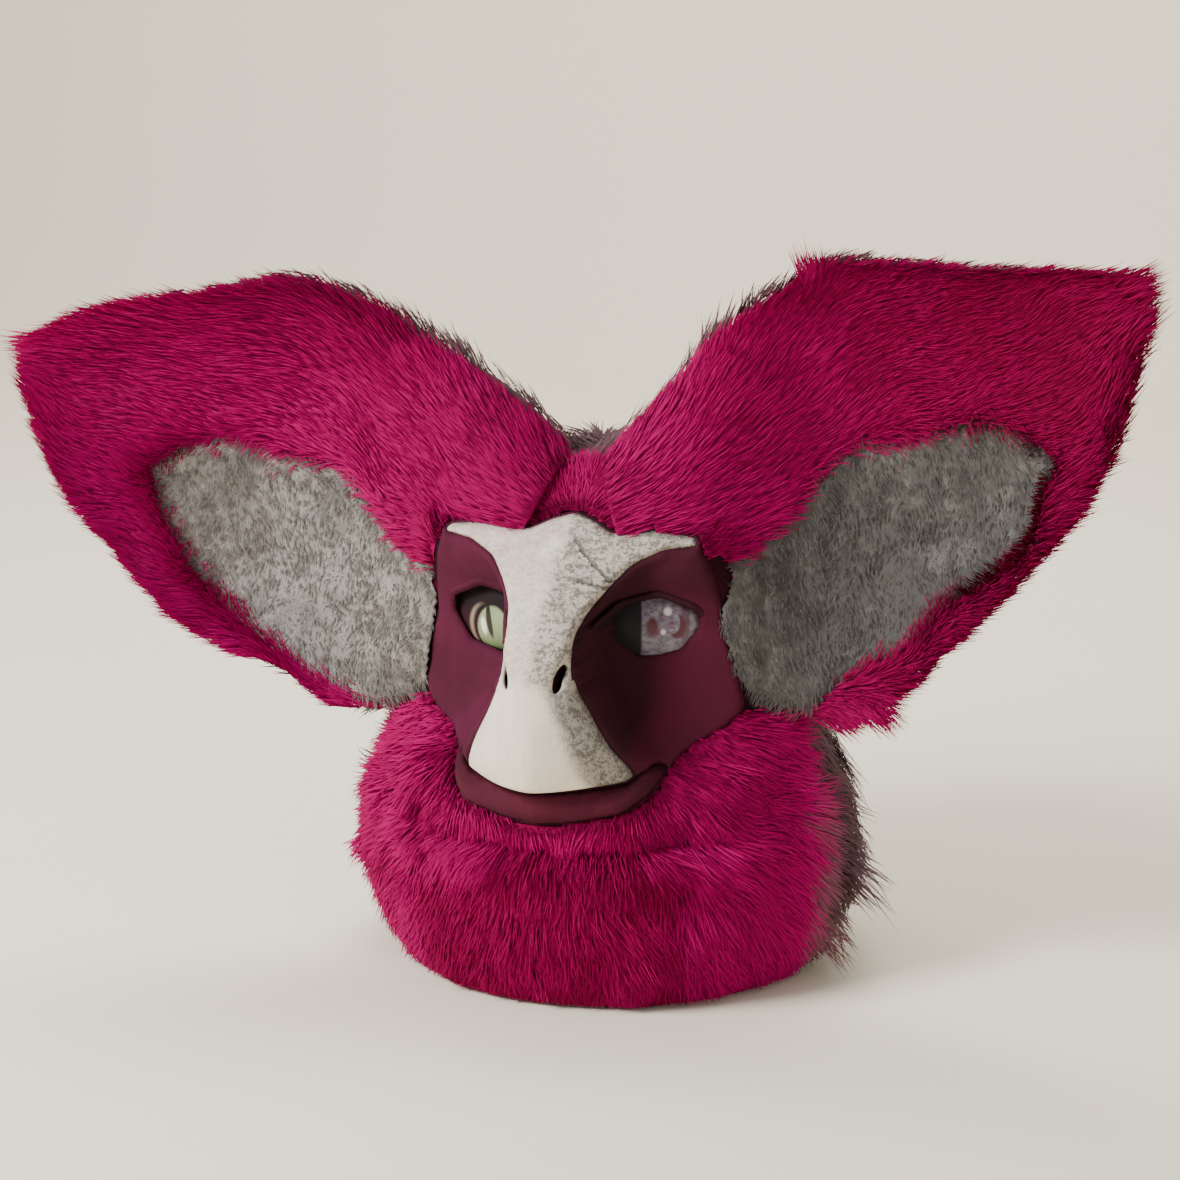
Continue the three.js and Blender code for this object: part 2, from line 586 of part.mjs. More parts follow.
// Almond window in the skin in front of each eye. Columns: X and Z from the eye's centre, as shares of its width
// and height, X growing outwards.
const windowOutline = [[-0.29, -0.10], [-0.12, -0.35], [0.20, -0.28], [0.34, 0.00], [0.33, 0.19], [0.07, 0.36],
  [-0.18, 0.25], [-0.28, 0.12]];
function windowPrism(sign, grow, fromY = frontY) {
  const outline = windowOutline.map(([x, z]) => [sign * (eyeCentre.x + x * eyeWidth), eyeCentre.z + z * eyeHeight]);
  return frontPrism(grownOutline(outline, grow), fromY, eyeCentre.y);
}

// Nostrils: slanted slots through the blaze into the foam
function nostrilSolid(sign, grow) {
  const geometry = new THREE.SphereGeometry(1, 8, 5);
  geometry.scale(nostrilWidth / 2 + grow, nostrilDepth / 2, nostrilHeight / 2 + grow);
  geometry.rotateY(THREE.MathUtils.degToRad(sign * 14));
  geometry.translate(sign * 0.112 * headWidth / 2, -0.87 * faceReach, 0.653 * headHeight);
  return toSolid(geometry);
}

const sockets = wasm.Manifold.union([eyeSolid(1, seam), eyeSolid(-1, seam), windowPrism(1, 0), windowPrism(-1, 0)]);
const nostrils = nostrilSolid(1, 0).add(nostrilSolid(-1, 0));
const headBase = shellSolid(0).subtract(hollowSolid()).subtract(sockets).subtract(nostrils);

const blaze = largest(shellSolid(seam + blazeThickness).subtract(grownShell).subtract(nostrils)
  .intersect(frontPrism(blazeOutline, frontY, 0)));
const lip = largest(shellSolid(seam + lipThickness).subtract(grownShell)
  .intersect(frontPrism(lipOutline, frontY, 0)));

const ears = {};
const earCutters = {};
const faceFront = frontPrism(openingOutline, frontY, sideSeamY);
const besideFace = grownShell.add(faceFront);
for (const side of ['left', 'right']) {
  const sign = side === 'left' ? -1 : 1;
  const ownHalf = sign > 0 ? block(2 * seam, beyond, -beyond, beyond, -beyond, 2 * beyond)
    : block(-beyond, -2 * seam, -beyond, beyond, -beyond, 2 * beyond);
  const full = earLayer(side, -earRim, earSheet).add(earLocks(side, 0));
  const recess = earLayer(side, -earRim - 60, 0, { taper: 1 }).intersect(linerPrism(side, seam));
  const trimmed = full.intersect(ownHalf).subtract(besideFace);
  const liner = earLayer(side, -seam - linerThickness, -seam, { taper: 1 }).intersect(linerPrism(side, 0));
  const back = earLayer(side, 0.5 * earSheet, earSheet + earBackFur, { rise: earBackRise })
    .subtract(earLayer(side, -earRim, earSheet, { spread: 0.6 * seam, grow: 2 * seam }));
  const lockCutter = earLocks(side, seam);
  ears[side] = {
    ear: largest(trimmed.subtract(recess)),
    liner: largest(liner.intersect(ownHalf).subtract(besideFace)),
    back: largest(back.subtract(lockCutter).intersect(ownHalf).subtract(grownShell)),
  };
  const sheetRoom = earLayer(side, -earRim, earSheet, { spread: 0.8 * seam, grow: 2.4 * seam });
  const backRoom = earLayer(side, 0.5 * earSheet, earSheet + earBackFur,
    { spread: 0.8 * seam, rise: earBackRise, grow: 2.4 * seam });
  earCutters[side] = wasm.Manifold.union([sheetRoom, backRoom, lockCutter]);
}
const bothEars = earCutters.left.add(earCutters.right);

const outsideBlaze = frontPrism(grownOutline(blazeOutline, seam), frontY, 1);
const outsideLip = frontPrism(grownOutline(lipOutline, seam), frontY, 1);
const panelRegion = frontPrism(grownOutline(openingOutline, -seam), frontY, sideSeamY - seam / 2);
const skin = shellSolid(seam + panelThickness).subtract(grownShell).intersect(panelRegion)
  .subtract(wasm.Manifold.union([outsideBlaze, outsideLip, sockets]));

// The upper lid: a raised rim on the skin over the window, lower towards the nose
function lidSolid(sign) {
  const skinTop = 2 * seam + panelThickness;
  const rim = windowPrism(sign, lidWidth).subtract(windowPrism(sign, 0.5 * seam));
  const outline = [[-0.22, 0.02], [0.36, 0.17], [0.36, 1], [-0.22, 1]]
    .map(([x, z]) => [sign * (eyeCentre.x + x * eyeWidth * 1.3), eyeCentre.z + z * eyeHeight]);
  return largest(shellSolid(skinTop + lidThickness).subtract(shellSolid(skinTop)).intersect(rim)
    .intersect(frontPrism(outline, frontY, eyeCentre.y)));
}

const creaseOutline = creaseLine.map(([x, z]) => [x * (chinHalf - seam / 2), z * headHeight]);
const half = chinHalf - seam / 2;
const chinRegion = [...creaseOutline.map(([x, z]) => [x, z + seam / 2]), [half, 0.51 * headHeight],
  [-half, 0.51 * headHeight]];
const bibRegion = [...creaseOutline.map(([x, z]) => [x, z - seam / 2]), [half, hemClearance], [-half, hemClearance]];
const cheekTop = 0.535 * headHeight;
const regions = {
  chin_roll: frontPrism(chinRegion, frontY, 0),
  throat_bib: frontPrism(bibRegion, frontY, 0),
  cheek_ruff_left: block(-beyond, -chinHalf - seam / 2, frontY, sideSeamY - seam / 2, hemClearance, cheekTop),
  cheek_ruff_right: block(chinHalf + seam / 2, beyond, frontY, sideSeamY - seam / 2, hemClearance, cheekTop),
  forehead_pelt: block(-beyond, beyond, frontY, sideSeamY - seam / 2, 0.850 * headHeight, 2 * beyond),
  back_pelt: block(-beyond, beyond, sideSeamY + seam / 2, beyond, hemClearance, 2 * beyond),
};

// The assembly
const group = new THREE.Group();
const colours = {
  foam: 0x3a3434, blaze: 0xd9d3c4, skin: 0x6a1f3d, lip: 0x54203a, magenta: 0xa40f58, grey: 0x8b8781,
  taupe: 0x56383f, eyeGreen: 0x7f9168, eyeLilac: 0x9a929b, lid: 0x3a0f20,
};

function addPiece(name, solid, colour, roughness) {
  const material = new THREE.MeshStandardMaterial({ color: colour, roughness, metalness: 0 });
  const piece = new THREE.Mesh(toGeometry(solid), material);
  piece.name = name;
  group.add(piece);
}

addPiece('head_base', headBase, colours.foam, 0.95);
addPiece('nose_blaze', blaze, colours.blaze, 0.9);
const halfSpace = {
  left: block(-beyond, -seam / 2, -beyond, beyond, -beyond, 2 * beyond),
  right: block(seam / 2, beyond, -beyond, beyond, -beyond, 2 * beyond),
};
for (const side of ['left', 'right']) {
  addPiece(`face_panel_${side}`, largest(skin.intersect(halfSpace[side])), colours.skin, 0.6);
}
addPiece('lower_lip', lip, colours.lip, 0.55);
for (const side of ['left', 'right']) {
  const sign = side === 'left' ? -1 : 1;
  addPiece(`eye_${side}`, eyeSolid(sign, 0), sign < 0 ? colours.eyeGreen : colours.eyeLilac, 0.15);
  addPiece(`eyelid_${side}`, lidSolid(sign), colours.lid, 0.6);
  addPiece(`ear_${side}`, ears[side].ear, colours.magenta, 0.95);
  addPiece(`inner_ear_${side}`, ears[side].liner, colours.grey, 0.95);
  addPiece(`ear_back_${side}`, ears[side].back, colours.taupe, 0.95);
}
const names = Object.keys(regions);
const lockCutters = Object.fromEntries(names.map((name) => [name, peltLocks(name, seam)]));
const faceCutter = frontPrism(openingOutline, frontY, sideSeamY + 40 * seam);
for (const name of names) {
  const pelt = furSolid.intersect(regions[name]);
  const others = wasm.Manifold.union(names.filter((other) => other !== name).map((other) => lockCutters[other]));
  const cutters = [grownShell, bothEars, faceCutter, others, block(-beyond, beyond, -beyond, beyond, -beyond, hemClearance)];
  const own = pelt.add(peltLocks(name, 0)).subtract(wasm.Manifold.union(cutters));
  const neighbours = names.filter((other) => other !== name).map((other) => regions[other]);
  const kept = own.subtract(wasm.Manifold.union(neighbours).intersect(grownFur));
  addPiece(name, largest(kept), name === 'back_pelt' ? colours.taupe : colours.magenta, 0.95);
}

// The origin is under the middle of the whole head, on the surface that it stands on.
const extent = new THREE.Box3().setFromObject(group);
const middle = extent.getCenter(new THREE.Vector3());
group.position.set(-middle.x, -middle.y, -extent.min.z);
group.updateMatrixWorld(true);

export default group;
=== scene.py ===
"""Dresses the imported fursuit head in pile, suede, plush and glossy eyes, in the part's own frame."""
import copy
import logging
import math
from dataclasses import dataclass
from enum import Enum

import bmesh
import bpy
import numpy as np
from mathutils import Matrix, Vector, noise
from mathutils.bvhtree import BVHTree
from mathutils.geometry import delaunay_2d_cdt


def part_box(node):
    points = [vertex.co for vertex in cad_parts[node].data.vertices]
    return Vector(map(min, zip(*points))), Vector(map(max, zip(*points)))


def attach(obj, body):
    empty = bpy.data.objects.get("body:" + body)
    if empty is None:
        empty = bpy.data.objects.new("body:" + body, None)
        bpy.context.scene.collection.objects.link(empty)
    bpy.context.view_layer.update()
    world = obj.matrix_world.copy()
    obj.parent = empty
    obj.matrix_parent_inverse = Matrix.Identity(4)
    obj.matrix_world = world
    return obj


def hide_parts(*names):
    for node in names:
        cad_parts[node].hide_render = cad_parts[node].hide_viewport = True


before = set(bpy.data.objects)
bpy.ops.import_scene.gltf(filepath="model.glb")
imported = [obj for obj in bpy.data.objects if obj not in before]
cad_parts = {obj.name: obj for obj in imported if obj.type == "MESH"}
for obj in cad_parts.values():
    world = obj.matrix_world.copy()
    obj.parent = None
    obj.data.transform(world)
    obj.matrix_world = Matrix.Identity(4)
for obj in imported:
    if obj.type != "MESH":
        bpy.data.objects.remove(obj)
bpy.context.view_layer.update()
log = logging.getLogger("fursuit_head")

MM = 0.001
UV_MAP = "OFBake"
BIG = 400.0
# The share of the pile's map above which it turns to its third tone
FAR_FROM = 0.62
FAR_TONE = 0.97
# The height below which tips are lifted off the floor, in metres
FLOOR_EASE = 0.003
# Vector noise starts from the time of day without a seed
NOISE_SEED = 5


class Side(Enum):
    """The left or right side of the head, as seen from the front, with its sign along X."""

    LEFT = -1
    RIGHT = 1

    @property
    def word(self) -> str:
        """Gives the word that piece names use for this side.

        Returns:
            The side's name in small letters.
        """
        return self.name.lower()


@dataclass(frozen=True)
class Sizes:
    """Sizes of the head in millimetres, the same as in the part's source."""

    head_height: float = 288.0
    head_width: float = 272.0
    muzzle_width: float = 94.0
    face_reach: float = 110.0
    back_reach: float = 180.0
    shell_wall: float = 12.0
    fur_depth: float = 14.0
    seam: float = 0.3
    blaze_thickness: float = 3.0
    panel_thickness: float = 2.0
    lip_thickness: float = 6.0
    lid_thickness: float = 3.0
    lid_width: float = 5.0
    eye_width: float = 70.0
    eye_height: float = 47.0
    eye_depth: float = 28.0
    eye_turn: float = 21.0
    nostril_width: float = 5.2
    nostril_height: float = 15.0
    ear_length: float = 225.0
    ear_height: float = 240.0
    ear_sweep: float = 64.0
    ear_cup: float = 42.0
    ear_back_rise: float = 6.0
    ear_front: float = 6.0
    ear_back: float = 6.5
    ear_pelt: tuple[float, float] = (7.6, 12.5)
    eye_well: float = 20.0
    nostril_well: float = 12.0
    side_seam_y: float = 4.0
    chin_half: float = 66.0

    @property
    def crown_y(self) -> float:
        """Gives the place of the crown's pole.

        Returns:
            Its distance behind the ears' meeting plane.
        """
        return 0.19 * self.back_reach

    @property
    def ear_root(self) -> tuple[float, float]:
        """Gives the place where an ear's table starts.

        Returns:
            X and Z of the root.
        """
        return 0.55 * self.head_width / 2, 0.781 * self.head_height

    @property
    def eye_centre(self) -> tuple[float, float, float]:
        """Gives the centre of the right eye.

        Returns:
            X, Y and Z of the dome's centre.
        """
        return 0.335 * self.head_width / 2, -0.165 * self.face_reach, 0.708 * self.head_height


SIZES = Sizes()
BOX_LOW, BOX_HIGH = (np.array(corner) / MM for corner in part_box("head_base"))
SHIFT = np.array([
    (BOX_LOW[0] + BOX_HIGH[0]) / 2,
    BOX_HIGH[1] - 0.99 * SIZES.back_reach,
    0.0,
])

# Columns: height, bridge, ridgeHalf, ridge, footHalf, foot, cheekHalf, cheek, sideHalf, sideY, back, hollow,
# frontFur, sideFur, backFur, in the shares that the part's source gives.
SECTIONS = np.array([
    [0.000, 0.62, 0.64, 0.59, 1.17, 0.50, 0.63, 0.23, 0.80, 0.17, 0.69, 0.49, 0.80, 1.00, 0.75],
    [0.104, 0.73, 0.72, 0.69, 1.32, 0.58, 0.72, 0.25, 0.94, 0.17, 0.78, 0.60, 0.80, 1.05, 0.80],
    [0.208, 0.77, 0.77, 0.73, 1.40, 0.60, 0.76, 0.25, 1.00, 0.17, 0.83, 0.64, 0.80, 1.10, 0.80],
    [0.305, 0.76, 0.77, 0.73, 1.36, 0.60, 0.75, 0.25, 0.97, 0.17, 0.88, 0.62, 0.75, 1.10, 0.80],
    [0.329, 0.69, 0.77, 0.66, 1.32, 0.56, 0.74, 0.24, 0.96, 0.17, 0.89, 0.56, 0.45, 1.10, 0.80],
    [0.361, 0.82, 0.81, 0.76, 1.28, 0.62, 0.71, 0.24, 0.93, 0.17, 0.91, 0.56, 0.65, 1.10, 0.80],
    [0.441, 0.85, 0.89, 0.65, 1.23, 0.50, 0.69, 0.20, 0.85, 0.17, 0.94, 0.47, 0.40, 1.00, 0.80],
    [0.455, 0.96, 1.00, 0.61, 1.19, 0.45, 0.68, 0.18, 0.84, 0.17, 0.95, 0.44, 0.40, 1.00, 0.80],
    [0.521, 1.00, 0.79, 0.73, 0.98, 0.38, 0.68, 0.11, 0.79, 0.17, 0.97, 0.32, 0.40, 0.90, 0.80],
    [0.590, 0.96, 0.55, 0.78, 0.72, 0.35, 0.66, 0.11, 0.76, 0.17, 0.99, 0.16, 0.40, 0.85, 0.80],
    [0.653, 0.91, 0.41, 0.82, 0.55, 0.33, 0.64, 0.14, 0.74, 0.17, 0.99, 0.00, 0.40, 0.80, 0.80],
    [0.705, 0.84, 0.39, 0.78, 0.49, 0.32, 0.61, 0.16, 0.72, 0.17, 0.99, -0.07, 0.40, 0.75, 0.80],
    [0.764, 0.70, 0.49, 0.62, 0.64, 0.35, 0.60, 0.20, 0.70, 0.17, 0.97, -0.06, 0.40, 0.75, 0.80],
    [0.827, 0.52, 0.77, 0.45, 0.96, 0.38, 0.58, 0.25, 0.67, 0.17, 0.92, 0.03, 0.45, 0.70, 0.75],
    [0.871, 0.35, 1.06, 0.34, 1.40, 0.31, 0.56, 0.26, 0.64, 0.18, 0.88, 0.06, 0.60, 0.65, 0.70],
    [0.910, 0.21, 0.85, 0.19, 1.32, 0.14, 0.52, 0.03, 0.58, 0.20, 0.76, 0.00, 0.65, 0.65, 0.70],
    [0.955, 0.09, 0.66, 0.07, 1.02, 0.01, 0.43, -0.11, 0.47, 0.22, 0.62, -0.17, 0.65, 0.65, 0.65],
    [0.986, -0.01, 0.42, -0.03, 0.68, -0.07, 0.28, -0.17, 0.31, 0.22, 0.45, -0.34, 0.65, 0.65, 0.65],
])
HOLLOW_ROWS_LEFT_OUT = (3, 4, 6, 9, 11, 14, 16)

BLAZE_HALF = [
    [0.000, 0.910], [0.090, 0.898], [0.170, 0.881], [0.330, 0.890], [0.515, 0.880], [0.520, 0.867],
    [0.400, 0.861], [0.290, 0.836], [0.220, 0.799], [0.168, 0.764], [0.140, 0.729], [0.136, 0.705],
    [0.143, 0.660], [0.162, 0.625], [0.213, 0.573], [0.272, 0.521], [0.330, 0.472], [0.344, 0.455],
    [0.325, 0.445], [0.150, 0.438], [0.000, 0.434],
]
OPENING_HALF = [
    [0.000, 0.914], [0.090, 0.902], [0.170, 0.885], [0.330, 0.895], [0.525, 0.884], [0.575, 0.823],
    [0.612, 0.704], [0.650, 0.623], [0.680, 0.547], [0.610, 0.509], [0.510, 0.490], [0.450, 0.460],
    [0.415, 0.417], [0.330, 0.389], [0.160, 0.375], [0.000, 0.368],
]
LIP_HALF = [
    [0.000, 0.430], [0.150, 0.433], [0.322, 0.441], [0.350, 0.451], [0.390, 0.466], [0.440, 0.456],
    [0.405, 0.421], [0.322, 0.393], [0.158, 0.379], [0.000, 0.373],
]
CREASE = [[-1.0, 0.255], [-0.68, 0.274], [-0.35, 0.299], [-0.08, 0.325], [0.06, 0.335], [0.22, 0.330],
          [0.36, 0.340], [0.55, 0.325], [0.78, 0.309], [1.0, 0.284]]
# How the left window differs: a little wider towards the nose, and lower
LEFT_WINDOW_CHANGE = np.array([
    [-0.05, -0.06], [-0.04, -0.12], [0.0, -0.05], [0.0, 0.0],
    [0.0, 0.0], [0.0, 0.0], [-0.05, 0.0], [-0.05, 0.0],
])
WINDOW = [[-0.29, -0.10], [-0.12, -0.35], [0.20, -0.28], [0.34, 0.00], [0.33, 0.19], [0.07, 0.36],
          [-0.18, 0.25], [-0.28, 0.12]]

# A pinched dimple in the right ear's plush, in X and Z
RIGHT_DIMPLE = np.array([172.0, 250.0])

# Columns: along the ear, upper edge X and Z, lower edge X and Z, depth of the cup
EAR_TABLES = {
    Side.LEFT: [
        [0.00, -0.280, 0.270, -0.100, -0.170, -0.80],
        [0.10, -0.100, 0.402, 0.070, -0.348, -0.50],
        [0.24, 0.070, 0.492, 0.280, -0.348, 0.25],
        [0.38, 0.240, 0.592, 0.490, -0.248, 0.85],
        [0.50, 0.390, 0.637, 0.630, -0.188, 1.00],
        [0.63, 0.580, 0.612, 0.770, -0.073, 0.85],
        [0.76, 0.750, 0.592, 0.880, 0.072, 0.60],
        [0.89, 0.890, 0.562, 0.965, 0.202, 0.32],
        [1.00, 0.995, 0.507, 1.015, 0.397, 0.06],
    ],
    Side.RIGHT: [
        [0.00, -0.280, 0.270, -0.100, -0.120, -0.80],
        [0.10, -0.140, 0.397, 0.100, -0.273, -0.50],
        [0.24, 0.000, 0.527, 0.290, -0.288, 0.25],
        [0.38, 0.140, 0.632, 0.450, -0.198, 0.85],
        [0.50, 0.320, 0.712, 0.570, -0.078, 1.00],
        [0.63, 0.490, 0.717, 0.700, 0.047, 0.85],
        [0.76, 0.680, 0.717, 0.830, 0.202, 0.60],
        [0.89, 0.850, 0.722, 0.940, 0.382, 0.32],
        [1.00, 0.985, 0.722, 0.995, 0.607, 0.06],
    ],
}
BACK_RISES = [0.6, 1.0, 1.0, 0.9, 0.7, 0.4, 0.1, 0.0, 0.0]
LINERS = {
    Side.LEFT: [
        [0.81, 0.20], [0.72, 0.26], [0.60, 0.275], [0.51, 0.225], [0.35, 0.205], [0.245, 0.12],
        [0.18, 0.06], [0.06, 0.01], [-0.10, -0.02], [-0.10, -0.20], [0.12, -0.325], [0.23, -0.35],
        [0.40, -0.29], [0.535, -0.20], [0.63, -0.13], [0.715, -0.035], [0.785, 0.085],
    ],
    Side.RIGHT: [
        [-0.10, 0.015], [0.06, 0.07], [0.13, 0.13], [0.17, 0.185], [0.29, 0.315], [0.42, 0.335],
        [0.62, 0.395], [0.70, 0.385], [0.82, 0.32], [0.78, 0.27], [0.77, 0.18], [0.72, 0.10],
        [0.53, -0.035], [0.48, -0.125], [0.30, -0.21], [0.25, -0.275], [0.17, -0.29], [0.08, -0.26],
        [-0.10, -0.20], [-0.10, -0.08],
    ],
}


# Numbers and curves


def smoothstep(low: float, high: float, value: np.ndarray) -> np.ndarray:
    """Eases from 0 to 1.

    Args:
        low: The value where it leaves 0.
        high: The value where it reaches 1.
        value: The values to ease.

    Returns:
        The eased values.
    """
    t = np.clip((value - low) / (high - low), 0.0, 1.0)
    return t * t * (3 - 2 * t)


def monotone(knots: np.ndarray, values: np.ndarray, at: np.ndarray) -> np.ndarray:
    """Interpolates columns smoothly without overshooting any row.

    Args:
        knots: The rising positions of the rows.
        values: One row for each knot, with any further axes.
        at: The positions to work out.

    Returns:
        The interpolated rows.
    """
    shape = (-1,) + (1,) * (values.ndim - 1)
    step = np.diff(knots).reshape(shape)
    slope = np.diff(values, axis=0) / step
    inner = 2 * slope[:-1] * slope[1:] / np.where(slope[:-1] + slope[1:] == 0, 1, slope[:-1] + slope[1:])
    inner = np.where(slope[:-1] * slope[1:] > 0, inner, 0.0)
    tangent = np.concatenate([slope[:1], inner, slope[-1:]])
    i = np.clip(np.searchsorted(knots, at, side="right") - 1, 0, len(knots) - 2)
    t = ((at - knots[i]) / (knots[i + 1] - knots[i])).reshape(shape)
    h = step[i]
    return ((1 + 2 * t) * (1 - t) ** 2 * values[i] + t * (1 - t) ** 2 * h * tangent[i]
            + t * t * (3 - 2 * t) * values[i + 1] + t * t * (t - 1) * h * tangent[i + 1])


def closed_curve(controls: np.ndarray, steps: int) -> np.ndarray:
    """Draws a smooth closed curve through its controls.

    Args:
        controls: One row for each control.
        steps: How many points each span gets.

    Returns:
        The curve's points.
    """
    t = np.linspace(0, 1, steps, endpoint=False)[:, None]
    spans = []
    for i in range(len(controls)):
        a, b, c, d = (controls[(i + k) % len(controls)] for k in (-1, 0, 1, 2))
        spans.append(0.5 * (2 * b + (c - a) * t + (2 * a - 5 * b + 4 * c - d) * t ** 2
                            + (3 * b - a - 3 * c + d) * t ** 3))
    return np.concatenate(spans)


def smooth_loop(loop: np.ndarray, spacing: float = 1.5, radius: float = 2.5) -> np.ndarray:
    """Resamples a closed outline evenly and rounds its corners a little.

    Args:
        loop: The outline's corners.
        spacing: The distance between the new points.
        radius: The spread of the rounding.

    Returns:
        The new points.
    """
    closed = np.vstack([loop, loop[:1]])
    along = np.concatenate([[0], np.cumsum(np.linalg.norm(np.diff(closed, axis=0), axis=1))])
    count = max(12, int(along[-1] / spacing))
    at = np.linspace(0, along[-1], count, endpoint=False)
    points = np.stack([np.interp(at, along, closed[:, axis]) for axis in (0, 1)], axis=1)
    reach = int(3 * radius / spacing)
    weights = np.exp(-0.5 * (np.arange(-reach, reach + 1) * spacing / radius) ** 2)
    weights /= weights.sum()
    return sum(w * np.roll(points, k, axis=0) for w, k in zip(weights, range(-reach, reach + 1)))


def full_outline(half: list[list[float]]) -> np.ndarray:
    """Mirrors a half outline of the face and gives it its size.

    Args:
        half: Rows of half width and height, as shares.

    Returns:
        The closed outline in millimetres.
    """
    right = np.array(half) * [SIZES.head_width / 2, SIZES.head_height]
    left = right[1:-1][::-1] * [-1, 1]
    return np.vstack([right, left])


def field_noise(points: np.ndarray, wavelength: float, seed: float = 0.0) -> np.ndarray:
    """Gives smooth noise at points.

    Args:
        points: The points in millimetres.
        wavelength: The size of the noise's features.
        seed: Moves the noise to another place.

    Returns:
        One number from -1 to 1 for each point.
    """
    offset = Vector((seed, 2.3 * seed, -1.7 * seed))
    return np.array([noise.noise(Vector(p) / wavelength + offset) for p in points])


def direction_noise(points: np.ndarray, wavelength: float, seed: float) -> np.ndarray:
    """Gives a smooth field of directions.

    Args:
        points: The points in millimetres.
        wavelength: The size of the field's features.
        seed: Moves the field to another place.

    Returns:
        One vector for each point.
    """
    offset = Vector((seed, -1.3 * seed, 0.7 * seed))
    return np.array([noise.noise_vector(Vector(p) / wavelength + offset) for p in points])


def stacked(front: np.ndarray, back: np.ndarray) -> np.ndarray:
    """Joins what a sheet's front and back layers carry.

    Args:
        front: A grid of numbers or vectors.
        back: Another of the same size.

    Returns:
        One row for each point of the front, then of the back.
    """
    return np.concatenate([grid.reshape((-1,) + grid.shape[2:]) for grid in (front, back)])


def unit(vectors: np.ndarray) -> np.ndarray:
    """Scales vectors to length one.

    Args:
        vectors: Any array with vectors on its last axis.

    Returns:
        The same array with each vector at length one.
    """
    return vectors / np.maximum(np.linalg.norm(vectors, axis=-1, keepdims=True), 1e-9)


class Region:
    """An area in the front view, bounded by loops in X and Z."""

    def __init__(self, loop: np.ndarray) -> None:
        """Keeps the loop.

        Args:
            loop: The closed outline.
        """
        self.loop = loop

    def inside(self, points: np.ndarray) -> np.ndarray:
        """Tells which points lie inside.

        Args:
            points: X and Z of each point.

        Returns:
            A mask with one truth value for each point.
        """
        inside = np.zeros(len(points), bool)
        x, z = points[:, 0], points[:, 1]
        for (x0, z0), (x1, z1) in zip(self.loop, np.roll(self.loop, -1, axis=0)):
            if z0 == z1:
                continue
            crosses = (z0 > z) != (z1 > z)
            inside ^= crosses & (x < (x1 - x0) * (z - z0) / (z1 - z0) + x0)
        return inside

    def distance(self, points: np.ndarray) -> np.ndarray:
        """Measures how far points lie from the outline.

        Args:
            points: X and Z of each point.

        Returns:
            The distances, all positive.
        """
        best = np.full(len(points), 1e9)
        for a, b in zip(self.loop, np.roll(self.loop, -1, axis=0)):
            line = b - a
            t = np.clip(((points - a) @ line) / max(line @ line, 1e-12), 0, 1)
            best = np.minimum(best, np.linalg.norm(points - a - t[:, None] * line, axis=1))
        return best


# Objects


def link(obj: bpy.types.Object) -> bpy.types.Object:
    """Puts an object in the scene.

    Args:
        obj: The object.

    Returns:
        The same object.
    """
    bpy.context.scene.collection.objects.link(obj)
    return obj


def to_object(name: str, points: np.ndarray, faces: list, material: bpy.types.Material) -> bpy.types.Object:
    """Makes an object from points in the part's own millimetres.

    Args:
        name: The object's name.
        points: The points.
        faces: Tuples of indices.
        material: The finish of the whole piece.

    Returns:
        The new object, linked to the scene.
    """
    mesh = bpy.data.meshes.new(name)
    mesh.from_pydata(((np.asarray(points) + SHIFT) * MM).tolist(), [], [tuple(map(int, f)) for f in faces])
    mesh.validate()
    mesh.shade_smooth()
    mesh.materials.append(material)
    return link(bpy.data.objects.new(name, mesh))


def write_attribute(mesh: bpy.types.Mesh, name: str, values: np.ndarray) -> None:
    """Stores one number or one vector for each point of a mesh.

    Args:
        mesh: The mesh that gets the attribute.
        name: The attribute's name.
        values: One row for each point.
    """
    is_vector = values.ndim == 2
    attribute = mesh.attributes.new(name, "FLOAT_VECTOR" if is_vector else "FLOAT", "POINT")
    attribute.data.foreach_set("vector" if is_vector else "value", values.astype(np.float32).ravel())


def solidify(obj: bpy.types.Object, thickness: float) -> None:
    """Gives a sheet its thickness behind its outer face.

    Args:
        obj: The sheet.
        thickness: The thickness in millimetres.
    """
    modifier = obj.modifiers.new("Thickness", "SOLIDIFY")
    modifier.thickness = thickness * MM
    modifier.offset = -1
    modifier.use_even_offset = False


def enter(obj: bpy.types.Object, slot: str, *nodes: str) -> None:
    """Puts a finished piece on the part's body.

    Args:
        obj: The piece.
        slot: The material slot of the record; not used.
        *nodes: The solids that it stands for.
    """
    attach(obj, "root")
    if nodes:
        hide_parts(*nodes)
    log.info("%s: %d faces, for %s", obj.name, len(obj.data.polygons), ", ".join(nodes) or "no solid")


def declare_sheet(obj: bpy.types.Object) -> None:
    """Works out a sheet's flat size and cut area, as cloth stretched over what it rests on, but keeps none
    of them.

    Args:
        obj: The sheet.
    """
    mesh = obj.data
    mesh.calc_loop_triangles()
    area = sum(t.area for t in mesh.loop_triangles)
    points = np.array([v.co for v in mesh.vertices])
    spans = np.sort(points.max(axis=0) - points.min(axis=0))
    wide = max(spans[1], 0.01)
    long = max(spans[2], 0.01)
    stretch = max(1.0, math.sqrt(1.02 * area / (wide * long)))
    flat = (wide * stretch, long * stretch)
    share = area / (flat[0] * flat[1])
    cut = area if share >= 0.3 else 0.31 * flat[0] * flat[1]


# Node graphs


